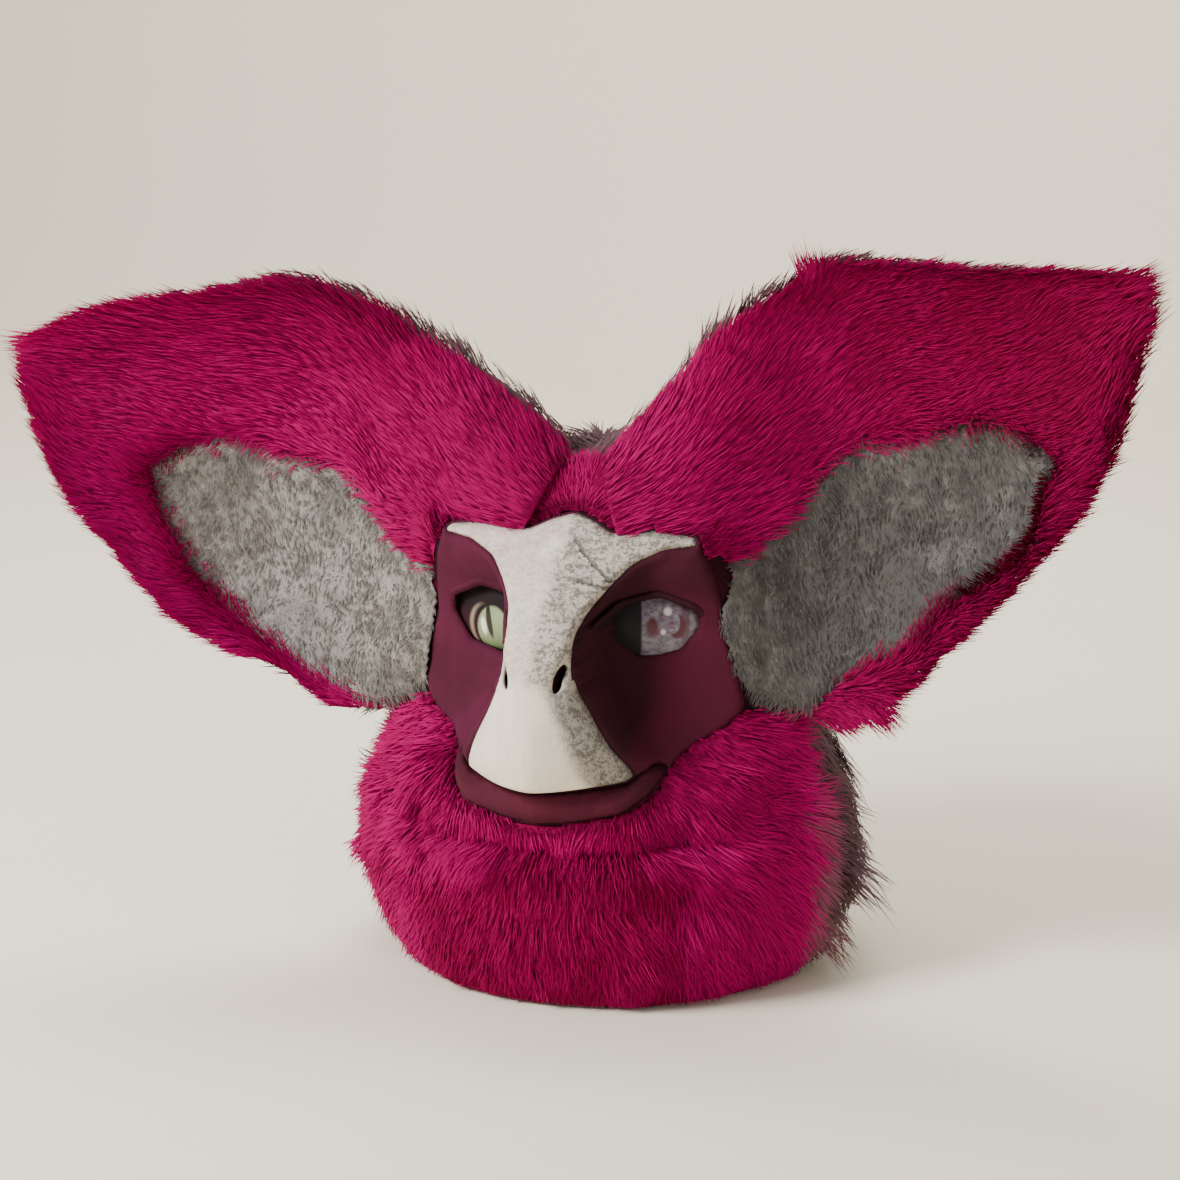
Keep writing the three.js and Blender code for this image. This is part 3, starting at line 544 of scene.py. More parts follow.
class Wire:
    """A socket's value, with arithmetic that adds nodes."""

    def __init__(self, graph: "Graph", socket: bpy.types.NodeSocket) -> None:
        """Keeps the socket.

        Args:
            graph: The graph that new nodes go to.
            socket: The output that this stands for.
        """
        self.graph = graph
        self.socket = socket

    def math(self, operation: str, *others: object, turned: bool = False) -> "Wire":
        """Adds a Math node.

        Args:
            operation: The node's operation.
            *others: The other operands.
            turned: Puts this value last.

        Returns:
            The node's result.
        """
        operands = [self, *others]
        if turned:
            operands.reverse()
        return self.graph.add("ShaderNodeMath", {"operation": operation}, dict(enumerate(operands)))

    def __add__(self, other: object) -> "Wire":
        """Adds a value. Args: other: the second term. Returns: the sum."""
        return self.math("ADD", other)

    def __sub__(self, other: object) -> "Wire":
        """Subtracts a value. Args: other: what is taken off. Returns: the difference."""
        return self.math("SUBTRACT", other)

    def __mul__(self, other: object) -> "Wire":
        """Multiplies by a value. Args: other: the factor. Returns: the product."""
        return self.math("MULTIPLY", other)

    def __truediv__(self, other: object) -> "Wire":
        """Divides by a value. Args: other: the divisor. Returns: the quotient."""
        return self.math("DIVIDE", other)

    def __rsub__(self, other: object) -> "Wire":
        """Subtracts this from a value. Args: other: the value. Returns: the difference."""
        return self.math("SUBTRACT", other, turned=True)

    __radd__ = __add__
    __rmul__ = __mul__

    def ease(self, low: float, high: float) -> "Wire":
        """Eases the value from 0 to 1.

        Args:
            low: Where it leaves 0.
            high: Where it reaches 1.

        Returns:
            The eased value.
        """
        settings = {"interpolation_type": "SMOOTHSTEP"}
        return self.graph.add("ShaderNodeMapRange", settings, {0: self, 1: low, 2: high})

    def at_least(self, other: object) -> "Wire":
        """Keeps the larger value.

        Args:
            other: The other value.

        Returns:
            The larger of the two.
        """
        return self.math("MAXIMUM", other)

    def at_most(self, other: object) -> "Wire":
        """Keeps the smaller value.

        Args:
            other: The other value.

        Returns:
            The smaller of the two.
        """
        return self.math("MINIMUM", other)


class Graph:
    """A node tree that is filled from one method."""

    def __init__(self, tree: bpy.types.NodeTree) -> None:
        """Keeps the tree and empties it.

        Args:
            tree: A shader or geometry tree.
        """
        self.tree = tree
        tree.nodes.clear()

    def node(self, kind: str, settings: dict | None = None, values: dict | None = None) -> bpy.types.Node:
        """Adds a node.

        Args:
            kind: The node's type.
            settings: Its properties.
            values: What its sockets get, by name or number: a constant, or a wire to link.

        Returns:
            The new node.
        """
        node = self.tree.nodes.new(kind)
        for key, value in (settings or {}).items():
            setattr(node, key, value)
        for key, value in (values or {}).items():
            if isinstance(key, int):
                socket = node.inputs[key]
            else:
                named = [s for s in node.inputs if s.name == key]
                socket = next((s for s in named if s.enabled), named[0])
            if isinstance(value, (list, tuple)) and value and isinstance(value[0], Wire):
                for wire in value:
                    self.tree.links.new(wire.socket, socket)
            elif isinstance(value, Wire):
                self.tree.links.new(value.socket, socket)
            else:
                socket.default_value = value
        return node

    def add(self, kind: str, settings: dict | None = None, values: dict | None = None,
            output: str | None = None) -> Wire:
        """Adds a node and gives one of its outputs.

        Args:
            kind: The node's type.
            settings: Its properties.
            values: What its sockets get.
            output: The output's name, or nothing for the first one in use.

        Returns:
            The output as a wire.
        """
        node = self.node(kind, settings, values)
        outputs = [s for s in node.outputs if s.enabled and (output is None or s.name == output)]
        return Wire(self, outputs[0])

    def mix(self, factor: object, first: object, second: object) -> Wire:
        """Mixes two colours.

        Args:
            factor: The share of the second.
            first: The first colour, as a wire or six digits.
            second: The second colour, likewise.

        Returns:
            The mixed colour.
        """
        first, second = (rgb(value) if isinstance(value, str) else value for value in (first, second))
        node = self.node("ShaderNodeMix", {"data_type": "RGBA"}, {0: factor, 6: first, 7: second})
        return Wire(self, node.outputs[2])

    def split(self, vector: Wire) -> list[Wire]:
        """Splits a vector.

        Args:
            vector: The vector.

        Returns:
            X, Y and Z.
        """
        node = self.node("ShaderNodeSeparateXYZ", None, {0: vector})
        return [Wire(self, socket) for socket in node.outputs]

    def scaled(self, vector: Wire, z: float, x: float = 1.0) -> Wire:
        """Scales coordinates, so that noise read there is drawn out or squashed.

        Args:
            vector: The coordinates.
            z: The factor along Z.
            x: The factor along X.

        Returns:
            The scaled coordinates.
        """
        return self.add("ShaderNodeMapping", None, {0: vector, 3: (x, 1.0, z)})

    def noise(self, vector: Wire, scale: float, detail: float = 3.0, roughness: float = 0.55,
              distortion: float = 0.0) -> Wire:
        """Adds a Noise Texture.

        Args:
            vector: Where it is read.
            scale: Its scale, per metre.
            detail: Its octaves.
            roughness: The weight of the fine octaves.
            distortion: How far it is warped.

        Returns:
            Its value from 0 to 1.
        """
        values = {"Vector": vector, "Scale": scale, "Detail": detail, "Roughness": roughness,
                  "Distortion": distortion}
        return self.add("ShaderNodeTexNoise", None, values)


def rgb(text: str) -> tuple[float, float, float, float]:
    """Turns a screen colour into linear light.

    Args:
        text: Six hexadecimal digits.

    Returns:
        Red, green, blue and one.
    """
    parts = [int(text[i:i + 2], 16) / 255 for i in (0, 2, 4)]
    linear = [p / 12.92 if p <= 0.04045 else ((p + 0.055) / 1.055) ** 2.4 for p in parts]
    return (*linear, 1.0)


class SurfaceGraph(Graph):
    """A material's tree round one Principled surface."""

    def __init__(self, tree: bpy.types.NodeTree, roughness: float, specular: float) -> None:
        """Adds the surface and the output.

        Args:
            tree: The material's tree.
            roughness: The surface's roughness, unless a wire drives it.
            specular: The strength of its plain reflection.
        """
        super().__init__(tree)
        values = {"Roughness": roughness, "Specular IOR Level": specular}
        self.surface = self.node("ShaderNodeBsdfPrincipled", None, values)
        self.node("ShaderNodeOutputMaterial", None, {"Surface": Wire(self, self.surface.outputs[0])})

    def place(self) -> Wire:
        """Gives the place on the object.

        Returns:
            The object's own coordinates in metres.
        """
        return self.add("ShaderNodeTexCoord", None, None, "Object")

    def across_and_up(self, place: Wire) -> tuple[Wire, Wire]:
        """Gives the distance from the middle of the face, and the height.

        Args:
            place: The place on the object.

        Returns:
            X from the middle and Z, in metres.
        """
        x, _, z = self.split(place)
        return x - float(SHIFT[0]) * MM, z

    def join(self, socket: str, wire: Wire) -> None:
        """Links a wire to the surface.

        Args:
            socket: The socket's name.
            wire: What drives it.
        """
        self.tree.links.new(wire.socket, self.surface.inputs[socket])

    def bump(self, height: Wire, distance: float) -> None:
        """Raises fine relief on the surface.

        Args:
            height: The relief from 0 to 1.
            distance: Its depth in metres.
        """
        values = {"Strength": 1.0, "Distance": distance, "Height": height}
        self.join("Normal", self.add("ShaderNodeBump", None, values))


class Finish:
    """What every finish shares: a Principled surface that its own method fills."""

    name: str
    roughness = 0.95
    specular = 0.2

    def build(self) -> bpy.types.Material:
        """Makes the material.

        Returns:
            The finished material.
        """
        material = bpy.data.materials.new(self.name)
        material.use_nodes = True
        self.fill(SurfaceGraph(material.node_tree, self.roughness, self.specular))
        return material

    def fill(self, graph: SurfaceGraph) -> None:
        """Fills the surface's sockets.

        Args:
            graph: The material's graph.
        """
        raise NotImplementedError


@dataclass(frozen=True)
class PileFinish(Finish):
    """Pile whose colour runs from root to tip, and from lock to lock through three tones. The dark root
    colour is painted shade low in the pile, among the locks.
    """

    name: str
    # Painted shade low in the pile, among the locks
    root: str
    low: str
    high: str
    far: str
    tip: str
    tip_share: float = 0.3
    roughness = 0.85
    specular = 0.08

    def fill(self, graph: SurfaceGraph) -> None:
        """Fills the surface's sockets.

        Args:
            graph: The material's graph.
        """
        tone, along, _ = graph.split(graph.add("ShaderNodeUVMap", {"uv_map": UV_MAP}))
        body = graph.mix((tone / FAR_FROM).at_most(1.0), self.low, self.high)
        body = graph.mix(tone.ease(FAR_FROM, FAR_TONE), body, self.far)
        # Towards the root the colour turns to the root colour: painted shade low in the pile
        colour = graph.mix(along.ease(-0.1, 0.5) * 0.75 + 0.25, self.root, body)
        graph.join("Base Color", graph.mix(along * along * self.tip_share, colour, self.tip))


@dataclass(frozen=True)
class SuedeFinish(Finish):
    """Smooth napped cloth with cloudy tone, and on the right side panel beside the blaze a darker colour,
    painted shade: darkest next to the blaze where the muzzle shades it, lighter farther out and below the
    eye.
    """

    name: str
    dark: str
    light: str
    # The right side's painted shade: this colour next to the blaze, turning to the outer colour farther out
    shadow: str = ""
    outer: str = ""

    def fill(self, graph: SurfaceGraph) -> None:
        """Fills the surface's sockets.

        Args:
            graph: The material's graph.
        """
        place = graph.place()
        clouds = graph.noise(place, 28.0, 4.0)
        nap = graph.noise(place, 900.0, 2.0)
        streaks = graph.noise(graph.scaled(place, 0.22), 170.0, 3.0)
        mixture = clouds.ease(0.3, 0.7) * 0.55 + streaks * 0.4 + nap * 0.2 - 0.1
        colour = graph.mix(mixture, self.dark, self.light)
        # Right of the middle, painted shade: the shadow colour where the muzzle shades the panel, the outer
        # colour farther out and below the eye
        if self.shadow:
            x, z = graph.across_and_up(place)
            outwards = (x + (clouds - 0.5) * 0.012).ease(0.040, 0.054)
            below = 1.0 - z.ease(0.205, 0.235)
            right = graph.mix(outwards * (0.35 + below * 0.65), self.shadow, self.outer)
            right = graph.mix(mixture * 0.35, right, self.dark)
            colour = graph.mix(x.ease(-0.004, 0.004), colour, right)
        graph.join("Base Color", colour)
        graph.join("Roughness", clouds * 0.12 + 0.78)
        graph.bump(nap * 0.5 + streaks * 0.5, 0.0006)


@dataclass(frozen=True)
class BlazeFinish(Finish):
    """Short cream pile, speckled and wrinkled above and cleaner below, with painted shade on its right half,
    on its lower right flank and in two creases.
    """

    name: str = "cream_pile"
    cream: str = "ece0cc"
    # Grey of the speckled upper pile, and also the painted shade of the right side
    shade: str = "a19a8f"
    speck: str = "4d4640"
    blush: str = "dba9b2"
    roughness = 0.92

    def fill(self, graph: SurfaceGraph) -> None:
        """Fills the surface's sockets.

        Args:
            graph: The material's graph.
        """
        place = graph.place()
        x, z = graph.across_and_up(place)
        upper = z.ease(0.178, 0.192)
        right = x.ease(-0.004, 0.004)
        # Painted shade on the lower right flank of the muzzle, which faces away from the light
        slope = (x - (0.186 - z) * 0.38).ease(0.003, 0.014) * (1.0 - upper)
        # Grainy grey pile above, much stronger on the right half, where it is also painted shade
        granular_and_shade = (upper * (0.35 + right * 0.65)).at_least(slope)
        clouds = graph.noise(place, 75.0, 4.0)
        grain = graph.noise(place, 620.0, 3.0, 0.7)
        patches = graph.noise(graph.scaled(place, 1.6), 210.0, 4.0, 0.6)
        streaks = graph.noise(graph.scaled(place, 0.3), 130.0, 3.0)
        base = graph.mix(streaks.ease(0.35, 0.75) * 0.22, self.cream, self.shade)
        pink = (1.0 - right) * z.ease(0.205, 0.262) * clouds.ease(0.35, 0.6) * 0.6
        base = graph.mix(pink, base, self.blush)
        base = graph.mix(granular_and_shade * (0.45 + clouds * 0.4) + slope * 0.45, base, self.shade)
        relief = grain * 0.5 + patches * 0.5
        colour = graph.mix(relief.ease(0.45, 0.57) * granular_and_shade * 0.7, base, self.speck)
        crease = self.crease(x, z, patches)
        # The creases are darkened in colour as well as in relief: painted shade in them
        graph.join("Base Color", graph.mix(crease * 0.6, colour, self.speck))
        graph.bump(relief * (0.25 + granular_and_shade * 0.75) - crease, 0.002)

    @staticmethod
    def crease(x: Wire, z: Wire, patches: Wire) -> Wire:
        """Draws two fine slanted folds on the upper right of the blaze.

        Args:
            x: The distance from the middle in metres.
            z: The height in metres.
            patches: Noise that breaks the folds up.

        Returns:
            1 in a fold and 0 beside it.
        """
        folds = []
        for start, end, height, slope in ((0.004, 0.040, 0.253, -0.75), (0.012, 0.034, 0.235, -0.35)):
            line = (z - (x - start) * slope - height + (patches - 0.5) * 0.006).math("ABSOLUTE")
            within = x.ease(start, start + 0.004) * (1.0 - x.ease(end - 0.006, end))
            folds.append((1.0 - line.ease(0.0002, 0.0012)) * within)
        return folds[0].at_least(folds[1])


@dataclass(frozen=True)
class PlushFinish(Finish):
    """Short grey plush, mottled where the nap turns, with painted shade in the hollows of its relief and
    over the right ear's liner.
    """

    name: str = "grey_pile"
    light: str = "9d9791"
    dark: str = "55524e"
    # Painted shade in the lowest hollows of the relief
    deep: str = "403d39"
    specular = 0.15

    def fill(self, graph: SurfaceGraph) -> None:
        """Fills the surface's sockets.

        Args:
            graph: The material's graph.
        """
        place = graph.place()
        right = graph.split(place)[0].ease(-0.02, 0.06)
        clouds = graph.noise(place, 26.0, 4.0, 0.55, 0.6)
        mottle = graph.noise(graph.scaled(place, 0.7), 110.0, 4.0, 0.6, 0.8)
        fibre = graph.noise(graph.scaled(place, 0.3), 900.0, 3.0, 0.6)
        tone = clouds.ease(0.35, 0.68) * 0.45 + mottle.ease(0.35, 0.68) * 0.3 + fibre * 0.3 - 0.2
        # The right liner turns darker: painted shade on the ear farther from the light
        tone = tone + right * 0.8
        colour = graph.mix(tone.at_least(0.0).at_most(1.0), self.light, self.dark)
        # The lowest hollows of the mottled relief take the darkest colour: painted shade
        shaded_hollows = 1.0 - mottle.ease(0.26, 0.38)
        graph.join("Base Color", graph.mix(shaded_hollows * 0.6, colour, self.deep))
        graph.bump(fibre * 0.45 + mottle * 0.55, 0.003)


@dataclass(frozen=True)
class EyeFinish(Finish):
    """A glossy painted dome. Its paint is worked out in the dome's own unit coordinates."""

    name: str
    side: Side
    specular = 0.25

    def fill(self, graph: SurfaceGraph) -> None:
        """Fills the surface's sockets.

        Args:
            graph: The material's graph.
        """
        sign = self.side.value
        centre = (np.array(SIZES.eye_centre) * [sign, 1, 1] + SHIFT) * MM
        scale = np.array([SIZES.eye_width, SIZES.eye_depth, SIZES.eye_height]) / 2 * MM
        turn = (0, 0, math.radians(sign * SIZES.eye_turn))
        values = {0: graph.place(), 1: centre.tolist(), 2: turn, 3: scale.tolist()}
        local = graph.add("ShaderNodeMapping", {"vector_type": "TEXTURE"}, values)
        across, _, up = graph.split(local)
        grain = graph.noise(local, 9.0, 4.0)
        paint = self.green if self.side is Side.LEFT else self.lilac
        colour, gloss = paint(graph, across, up, grain, local)
        graph.join("Base Color", colour)
        graph.join("Roughness", 0.75 - gloss * 0.45)
        graph.join("Coat Weight", gloss * 0.3)
        graph.surface.inputs["Coat Roughness"].default_value = 0.12

    @staticmethod
    def disc(across: Wire, up: Wire, middle: tuple[float, float], radii: tuple[float, float],
             soft: float = 0.12) -> Wire:
        """Draws an oval.

        Args:
            across: The coordinate across the dome.
            up: The coordinate up the dome.
            middle: The oval's centre.
            radii: Its half width and half height.
            soft: The softness of its edge.

        Returns:
            1 inside and 0 outside.
        """
        a = (across - middle[0]) / radii[0]
        b = (up - middle[1]) / radii[1]
        return 1.0 - (a * a + b * b).math("SQRT").ease(1.0 - soft, 1.0 + soft)

    def green(
        self, graph: SurfaceGraph, across: Wire, up: Wire, grain: Wire, local: Wire
    ) -> tuple[Wire, Wire]:
        """Paints the left eye: a green iris with a slit pupil on a maroon ground, and a tan crescent, with a
        painted highlight and painted shade on the upper ground under the lid.

        Args:
            graph: The material's graph.
            across: The coordinate across the dome.
            up: The coordinate up the dome.
            grain: Fine noise.
            local: The dome's coordinates.

        Returns:
            The colour, and the gloss from 0 to 1.
        """
        rays = graph.noise(graph.scaled(local, 1.2, 6.0), 4.0, 3.0)
        tan = self.disc(across, up, (-0.05, -0.36), (0.28, 0.60))
        tan = tan * (1.0 - self.disc(across, up, (0.05, -0.37), (0.30, 0.66)))
        iris = self.disc(across, up, (0.17, -0.46), (0.33, 0.68), 0.07)
        slit = self.disc(across + up * 0.06, up, (0.085, -0.14), (0.055, 0.42), 0.25)
        # A small painted highlight on the glossy dome
        painted_glint = self.disc(across + up * 0.04, up, (-0.035, -0.28), (0.055, 0.20), 0.3)
        colour = graph.mix(grain, "24060f", "350b1c")
        # The upper ground darkens: painted shade under the lid
        colour = graph.mix(up.ease(-0.2, 0.2), colour, "16040a")
        colour = graph.mix(tan * 0.9, colour, "8f7f6a")
        green = graph.mix(up.ease(-1.0, 0.0) * 0.6 + rays * 0.4, "5f7346", "97a87e")
        colour = graph.mix(iris, colour, green)
        colour = graph.mix(slit, colour, "12080a")
        return graph.mix(painted_glint, colour, "e4efda"), iris.at_least(tan * 0.6)

    def lilac(
        self, graph: SurfaceGraph, across: Wire, up: Wire, grain: Wire, local: Wire
    ) -> tuple[Wire, Wire]:
        """Paints the right eye: painted shadow of the muzzle on its inner side, and lilac with maroon marks
        and small painted highlights.

        Args:
            graph: The material's graph.
            across: The coordinate across the dome.
            up: The coordinate up the dome.
            grain: Fine noise.
            local: The dome's coordinates.

        Returns:
            The colour, and the gloss from 0 to 1.
        """
        swirl = graph.noise(local, 5.0, 3.0, 0.6, 1.0)
        marks = swirl.ease(0.52, 0.60) * self.disc(across, up, (-0.02, 0.12), (0.30, 0.42), 0.3)
        blotch = self.disc(across, up, (-0.15, 0.0), (0.09, 0.22), 0.35)
        hook = self.disc(across, up, (0.24, 0.0), (0.13, 0.28))
        hook = hook * (1.0 - self.disc(across, up, (0.17, 0.09), (0.11, 0.25)))
        # Small pale painted highlights on the glassy dome
        glints = self.disc(across, up, (0.09, 0.35), (0.06, 0.09), 0.4)
        glints = glints.at_least(self.disc(across, up, (0.02, -0.12), (0.04, 0.06), 0.4))
        pale = graph.mix(grain.ease(0.2, 0.8), "4a3e4b", "837a85")
        colour = graph.mix(marks * 0.75, pale, "5e1230")
        colour = graph.mix(blotch.at_least(hook), colour, "480720")
        colour = graph.mix(glints * 0.8, colour, "d8cdd2")
        band = across.ease(0.27, 0.33) * (1.0 - across.ease(0.40, 0.46)) * up.ease(-0.6, -0.1)
        colour = graph.mix(band * 0.8, colour, "4d1029")
        # The inner side is painted dark: the shadow that the muzzle casts on the eye
        muzzle_shadow = 1.0 - across.ease(-0.33, -0.28)
        return graph.mix(muzzle_shadow, colour, "150d13"), 1.0 - muzzle_shadow * 0.85


@dataclass(frozen=True)
class FoamFinish(Finish):
    """Dark foam under a thin cloth lining, dark maroon so that where it shows between the pieces it stands
    in for the shade there: painted shade.
    """

    name: str = "foam"
    dark: str = "200810"
    light: str = "380f1d"
    specular = 0.1

    def fill(self, graph: SurfaceGraph) -> None:
        """Fills the surface's sockets.

        Args:
            graph: The material's graph.
        """
        place = graph.place()
        cells = graph.noise(place, 700.0, 3.0)
        clouds = graph.noise(place, 30.0, 3.0)
        graph.join("Base Color", graph.mix(cells * 0.5 + clouds * 0.5, self.dark, self.light))
        graph.bump(cells, 0.0012)


@dataclass(frozen=True)
class PaperFinish(Finish):
    """The plain pale floor and backdrop."""

    name: str = "backdrop"
    light: str = "fff4dd"
    dark: str = "f1e7d4"
    specular = 0.5

    def fill(self, graph: SurfaceGraph) -> None:
        """Fills the surface's sockets.

        Args:
            graph: The material's graph.
        """
        clouds = graph.noise(graph.place(), 3.0, 2.0)
        graph.join("Base Color", graph.mix(clouds * 0.3, self.light, self.dark))


# Forms


class HeadForm:
    """The outside of the foam as a fine grid, worked out from the table of sections."""

    SPAN_STEPS = 10

    def __init__(self) -> None:
        """Works out the grid, its normals and its fur depths."""
        s = SIZES
        rings = [self.ring(row) for row in SECTIONS]
        last = rings[-1].copy()
        last[:, :2] = [0.0, s.crown_y]
        heights = np.append(SECTIONS[:, 0], 1.0) * s.head_height
        crown = s.head_height - np.array([1.5, 0.8, 0.3, 0.05])
        at = np.unique(np.concatenate([np.linspace(0, heights[-2], 132), heights[:-1], crown]))
        grid = monotone(heights, np.array([*rings, last]), at)
        z = np.broadcast_to(at[:, None, None], grid.shape[:2] + (1,))
        self.points = np.concatenate([grid[..., :2], z], axis=2)
        self.fur = grid[..., 2]
        around = np.roll(self.points, -1, axis=1) - np.roll(self.points, 1, axis=1)
        upwards = np.gradient(self.points, axis=0)
        self.normals = unit(np.cross(around, upwards))
        self.rows, self.columns = self.fur.shape

    @staticmethod
    def ring(row: np.ndarray) -> np.ndarray:
        """Draws one section.

        Args:
            row: A row of the table.

        Returns:
            X, Y and the fur's depth for each point of the section.
        """
        s = SIZES
        (_, bridge, ridge_half, ridge, foot_half, foot, cheek_half, cheek, side_half, side_y, back, _,
         front_fur, side_fur, back_fur) = row
        muzzle, head = s.muzzle_width / 2, s.head_width / 2
        side, flank_y, rear_y = side_half * head, side_y * s.back_reach, back * s.back_reach
        front, flank, rear = front_fur * s.fur_depth, side_fur * s.fur_depth, back_fur * s.fur_depth
        half = np.array([
            [0, -bridge * s.face_reach, front],
            [ridge_half * muzzle, -ridge * s.face_reach, front],
            [foot_half * muzzle, -foot * s.face_reach, front],
            [cheek_half * head, -cheek * s.face_reach, (front + 2 * flank) / 3],
            [side, flank_y, flank],
            [0.72 * side, flank_y + 0.8 * (rear_y - flank_y), (flank + rear) / 2],
            [0, rear_y, rear],
        ])
        other = half[1:-1][::-1] * [-1, 1, 1]
        return closed_curve(np.vstack([half, other]), HeadForm.SPAN_STEPS)

    def faces(self) -> np.ndarray:
        """Lists the grid's quads.

        Returns:
            Four indices for each quad.
        """
        r, c = np.meshgrid(np.arange(self.rows - 1), np.arange(self.columns), indexing="ij")
        a = r * self.columns + c
        b = r * self.columns + (c + 1) % self.columns
        return np.stack([a, b, b + self.columns, a + self.columns], axis=-1).reshape(-1, 4)

    def grown(self, depth: float, share: float = 0.0) -> np.ndarray:
        """Offsets the grid along its normals.

        Args:
            depth: The distance.
            share: A share of the fur's depth that is added.

        Returns:
            The offset points, one row each.
        """
        away = depth + share * self.fur
        return (self.points + self.normals * away[..., None]).reshape(-1, 3)

    def front(self, depth: float) -> "FrontView":
        """Gives the offset surface as seen from the front.

        Args:
            depth: The distance of the offset.

        Returns:
            The surface, ready for rays.
        """
        return FrontView(self.grown(depth), self.faces())


class FrontView:
    """A surface that is met by rays along Y."""

    def __init__(self, points: np.ndarray, faces: np.ndarray) -> None:
        """Builds the search tree.

        Args:
            points: The surface's points.
            faces: Its faces.
        """
        self.tree = BVHTree.FromPolygons(points.tolist(), faces.tolist())

    def meet(self, places: np.ndarray, from_back: bool = False) -> np.ndarray:
        """Finds Y at places in the front view.

        Args:
            places: X and Z of each place.
            from_back: Looks from behind.

        Returns:
            Y for each place, and not a number where nothing is met.
        """
        start, way = (BIG, -1) if from_back else (-BIG, 1)
        out = np.full(len(places), np.nan)
        for i, (x, z) in enumerate(places):
            hit = self.tree.ray_cast(Vector((x, start, z)), Vector((0, way, 0)))[0]
            if hit is not None:
                out[i] = hit.y
        return out


class EarForm:
    """One ear's cupped sheet as a fine grid, worked out from its table."""

    ROWS, COLUMNS = 76, 41

    def __init__(self, side: Side) -> None:
        """Reads the ear's table.

        Args:
            side: Which ear it is.
        """
        table = np.array(EAR_TABLES[side])
        self.side = side
        self.along = np.linspace(0, 1, self.ROWS)
        self.values = monotone(table[:, 0], table[:, 1:], self.along)
        self.row = np.interp(self.along, table[:, 0], np.arange(len(table)))
        self.across = 0.5 - 0.5 * np.cos(np.pi * np.linspace(0, 1, self.COLUMNS))
        edge = np.minimum(9 * np.minimum(self.across, 1 - self.across)[None, :],
                          (0.35 + 2.2 * (len(table) - 1 - self.row))[:, None])
        self.thin = 0.45 + 0.55 * np.sqrt(np.clip(np.minimum(edge, 1.0), 0, 1))

    def middle(self, rise: float = 0.0) -> np.ndarray:
        """Works out the middle surface.

        Args:
            rise: How far it goes past the upper edge.

        Returns:
            A grid of points.
        """
        s = SIZES
        upper = self.values[:, 0:2] * [s.ear_length, s.ear_height]
        lower = self.values[:, 2:4] * [s.ear_length, s.ear_height]
        line = upper - lower
        length = np.linalg.norm(line, axis=1)
        rises = rise * np.interp(self.row, range(len(BACK_RISES)), BACK_RISES)
        share = self.across[None, :] + (rises / length)[:, None] * self.across[None, :] ** 3
        place = lower[:, None] + line[:, None] * share[..., None]
        cup = self.values[:, 4:5] * s.ear_cup * (4 * self.across * (1 - self.across))[None, :] ** 0.75
        y = -s.ear_sweep * self.along[:, None] ** 1.4 + cup
        root_x, root_z = s.ear_root
        return np.stack([self.side.value * (place[..., 0] + root_x), y, place[..., 1] + root_z], axis=-1)

    def layer(self, front: object, back: object, rise: float = 0.0) -> tuple[np.ndarray, np.ndarray]:
        """Closes a sheet between two depths.

        Args:
            front: The depth of the front, a number or a grid.
            back: The depth of the back, a number or a grid.
            rise: How far it goes past the upper edge.

        Returns:
            Its points and its faces.
        """
        grid = self.middle(rise)
        both = []
        for depth in (front, back):
            layer = grid.copy()
            layer[..., 1] += depth * self.thin
            both.append(layer.reshape(-1, 3))
        rows, columns = self.ROWS, self.COLUMNS
        count = rows * columns
        r, c = np.meshgrid(np.arange(rows - 1), np.arange(columns - 1), indexing="ij")
        a = (r * columns + c).ravel()
        faces = [np.stack([a, a + columns, a + columns + 1, a + 1], axis=1)]
        faces.append(np.stack([a, a + 1, a + columns + 1, a + columns], axis=1) + count)
        low = np.arange(rows - 1) * columns
        high = low + columns - 1
        faces.append(np.stack([low, low + count, low + columns + count, low + columns], axis=1))
        faces.append(np.stack([high, high + columns, high + columns + count, high + count], axis=1))
        tip = (rows - 1) * columns
        c = np.arange(columns - 1)
        faces.append(np.stack([c, c + 1, c + 1 + count, c + count], axis=1))
        faces.append(np.stack([tip + c, tip + c + count, tip + c + 1 + count, tip + c + 1], axis=1))
        faces = np.concatenate(faces)
        return np.concatenate(both), faces if self.side is Side.RIGHT else faces[:, ::-1]

    def directions(self) -> tuple[np.ndarray, np.ndarray, np.ndarray]:
        """Works out directions on the middle surface.

        Returns:
            Grids of the way to the tip, the way to the nearer edge and the forward normal.
        """
        grid = self.middle()
        to_tip = unit(np.gradient(grid, axis=0))
        across = unit(np.gradient(grid, self.across, axis=1))
        normal = unit(np.cross(to_tip, across)) * self.side.value
        outwards = across * np.sign(self.across - 0.5)[None, :, None]
        return to_tip, outwards, normal


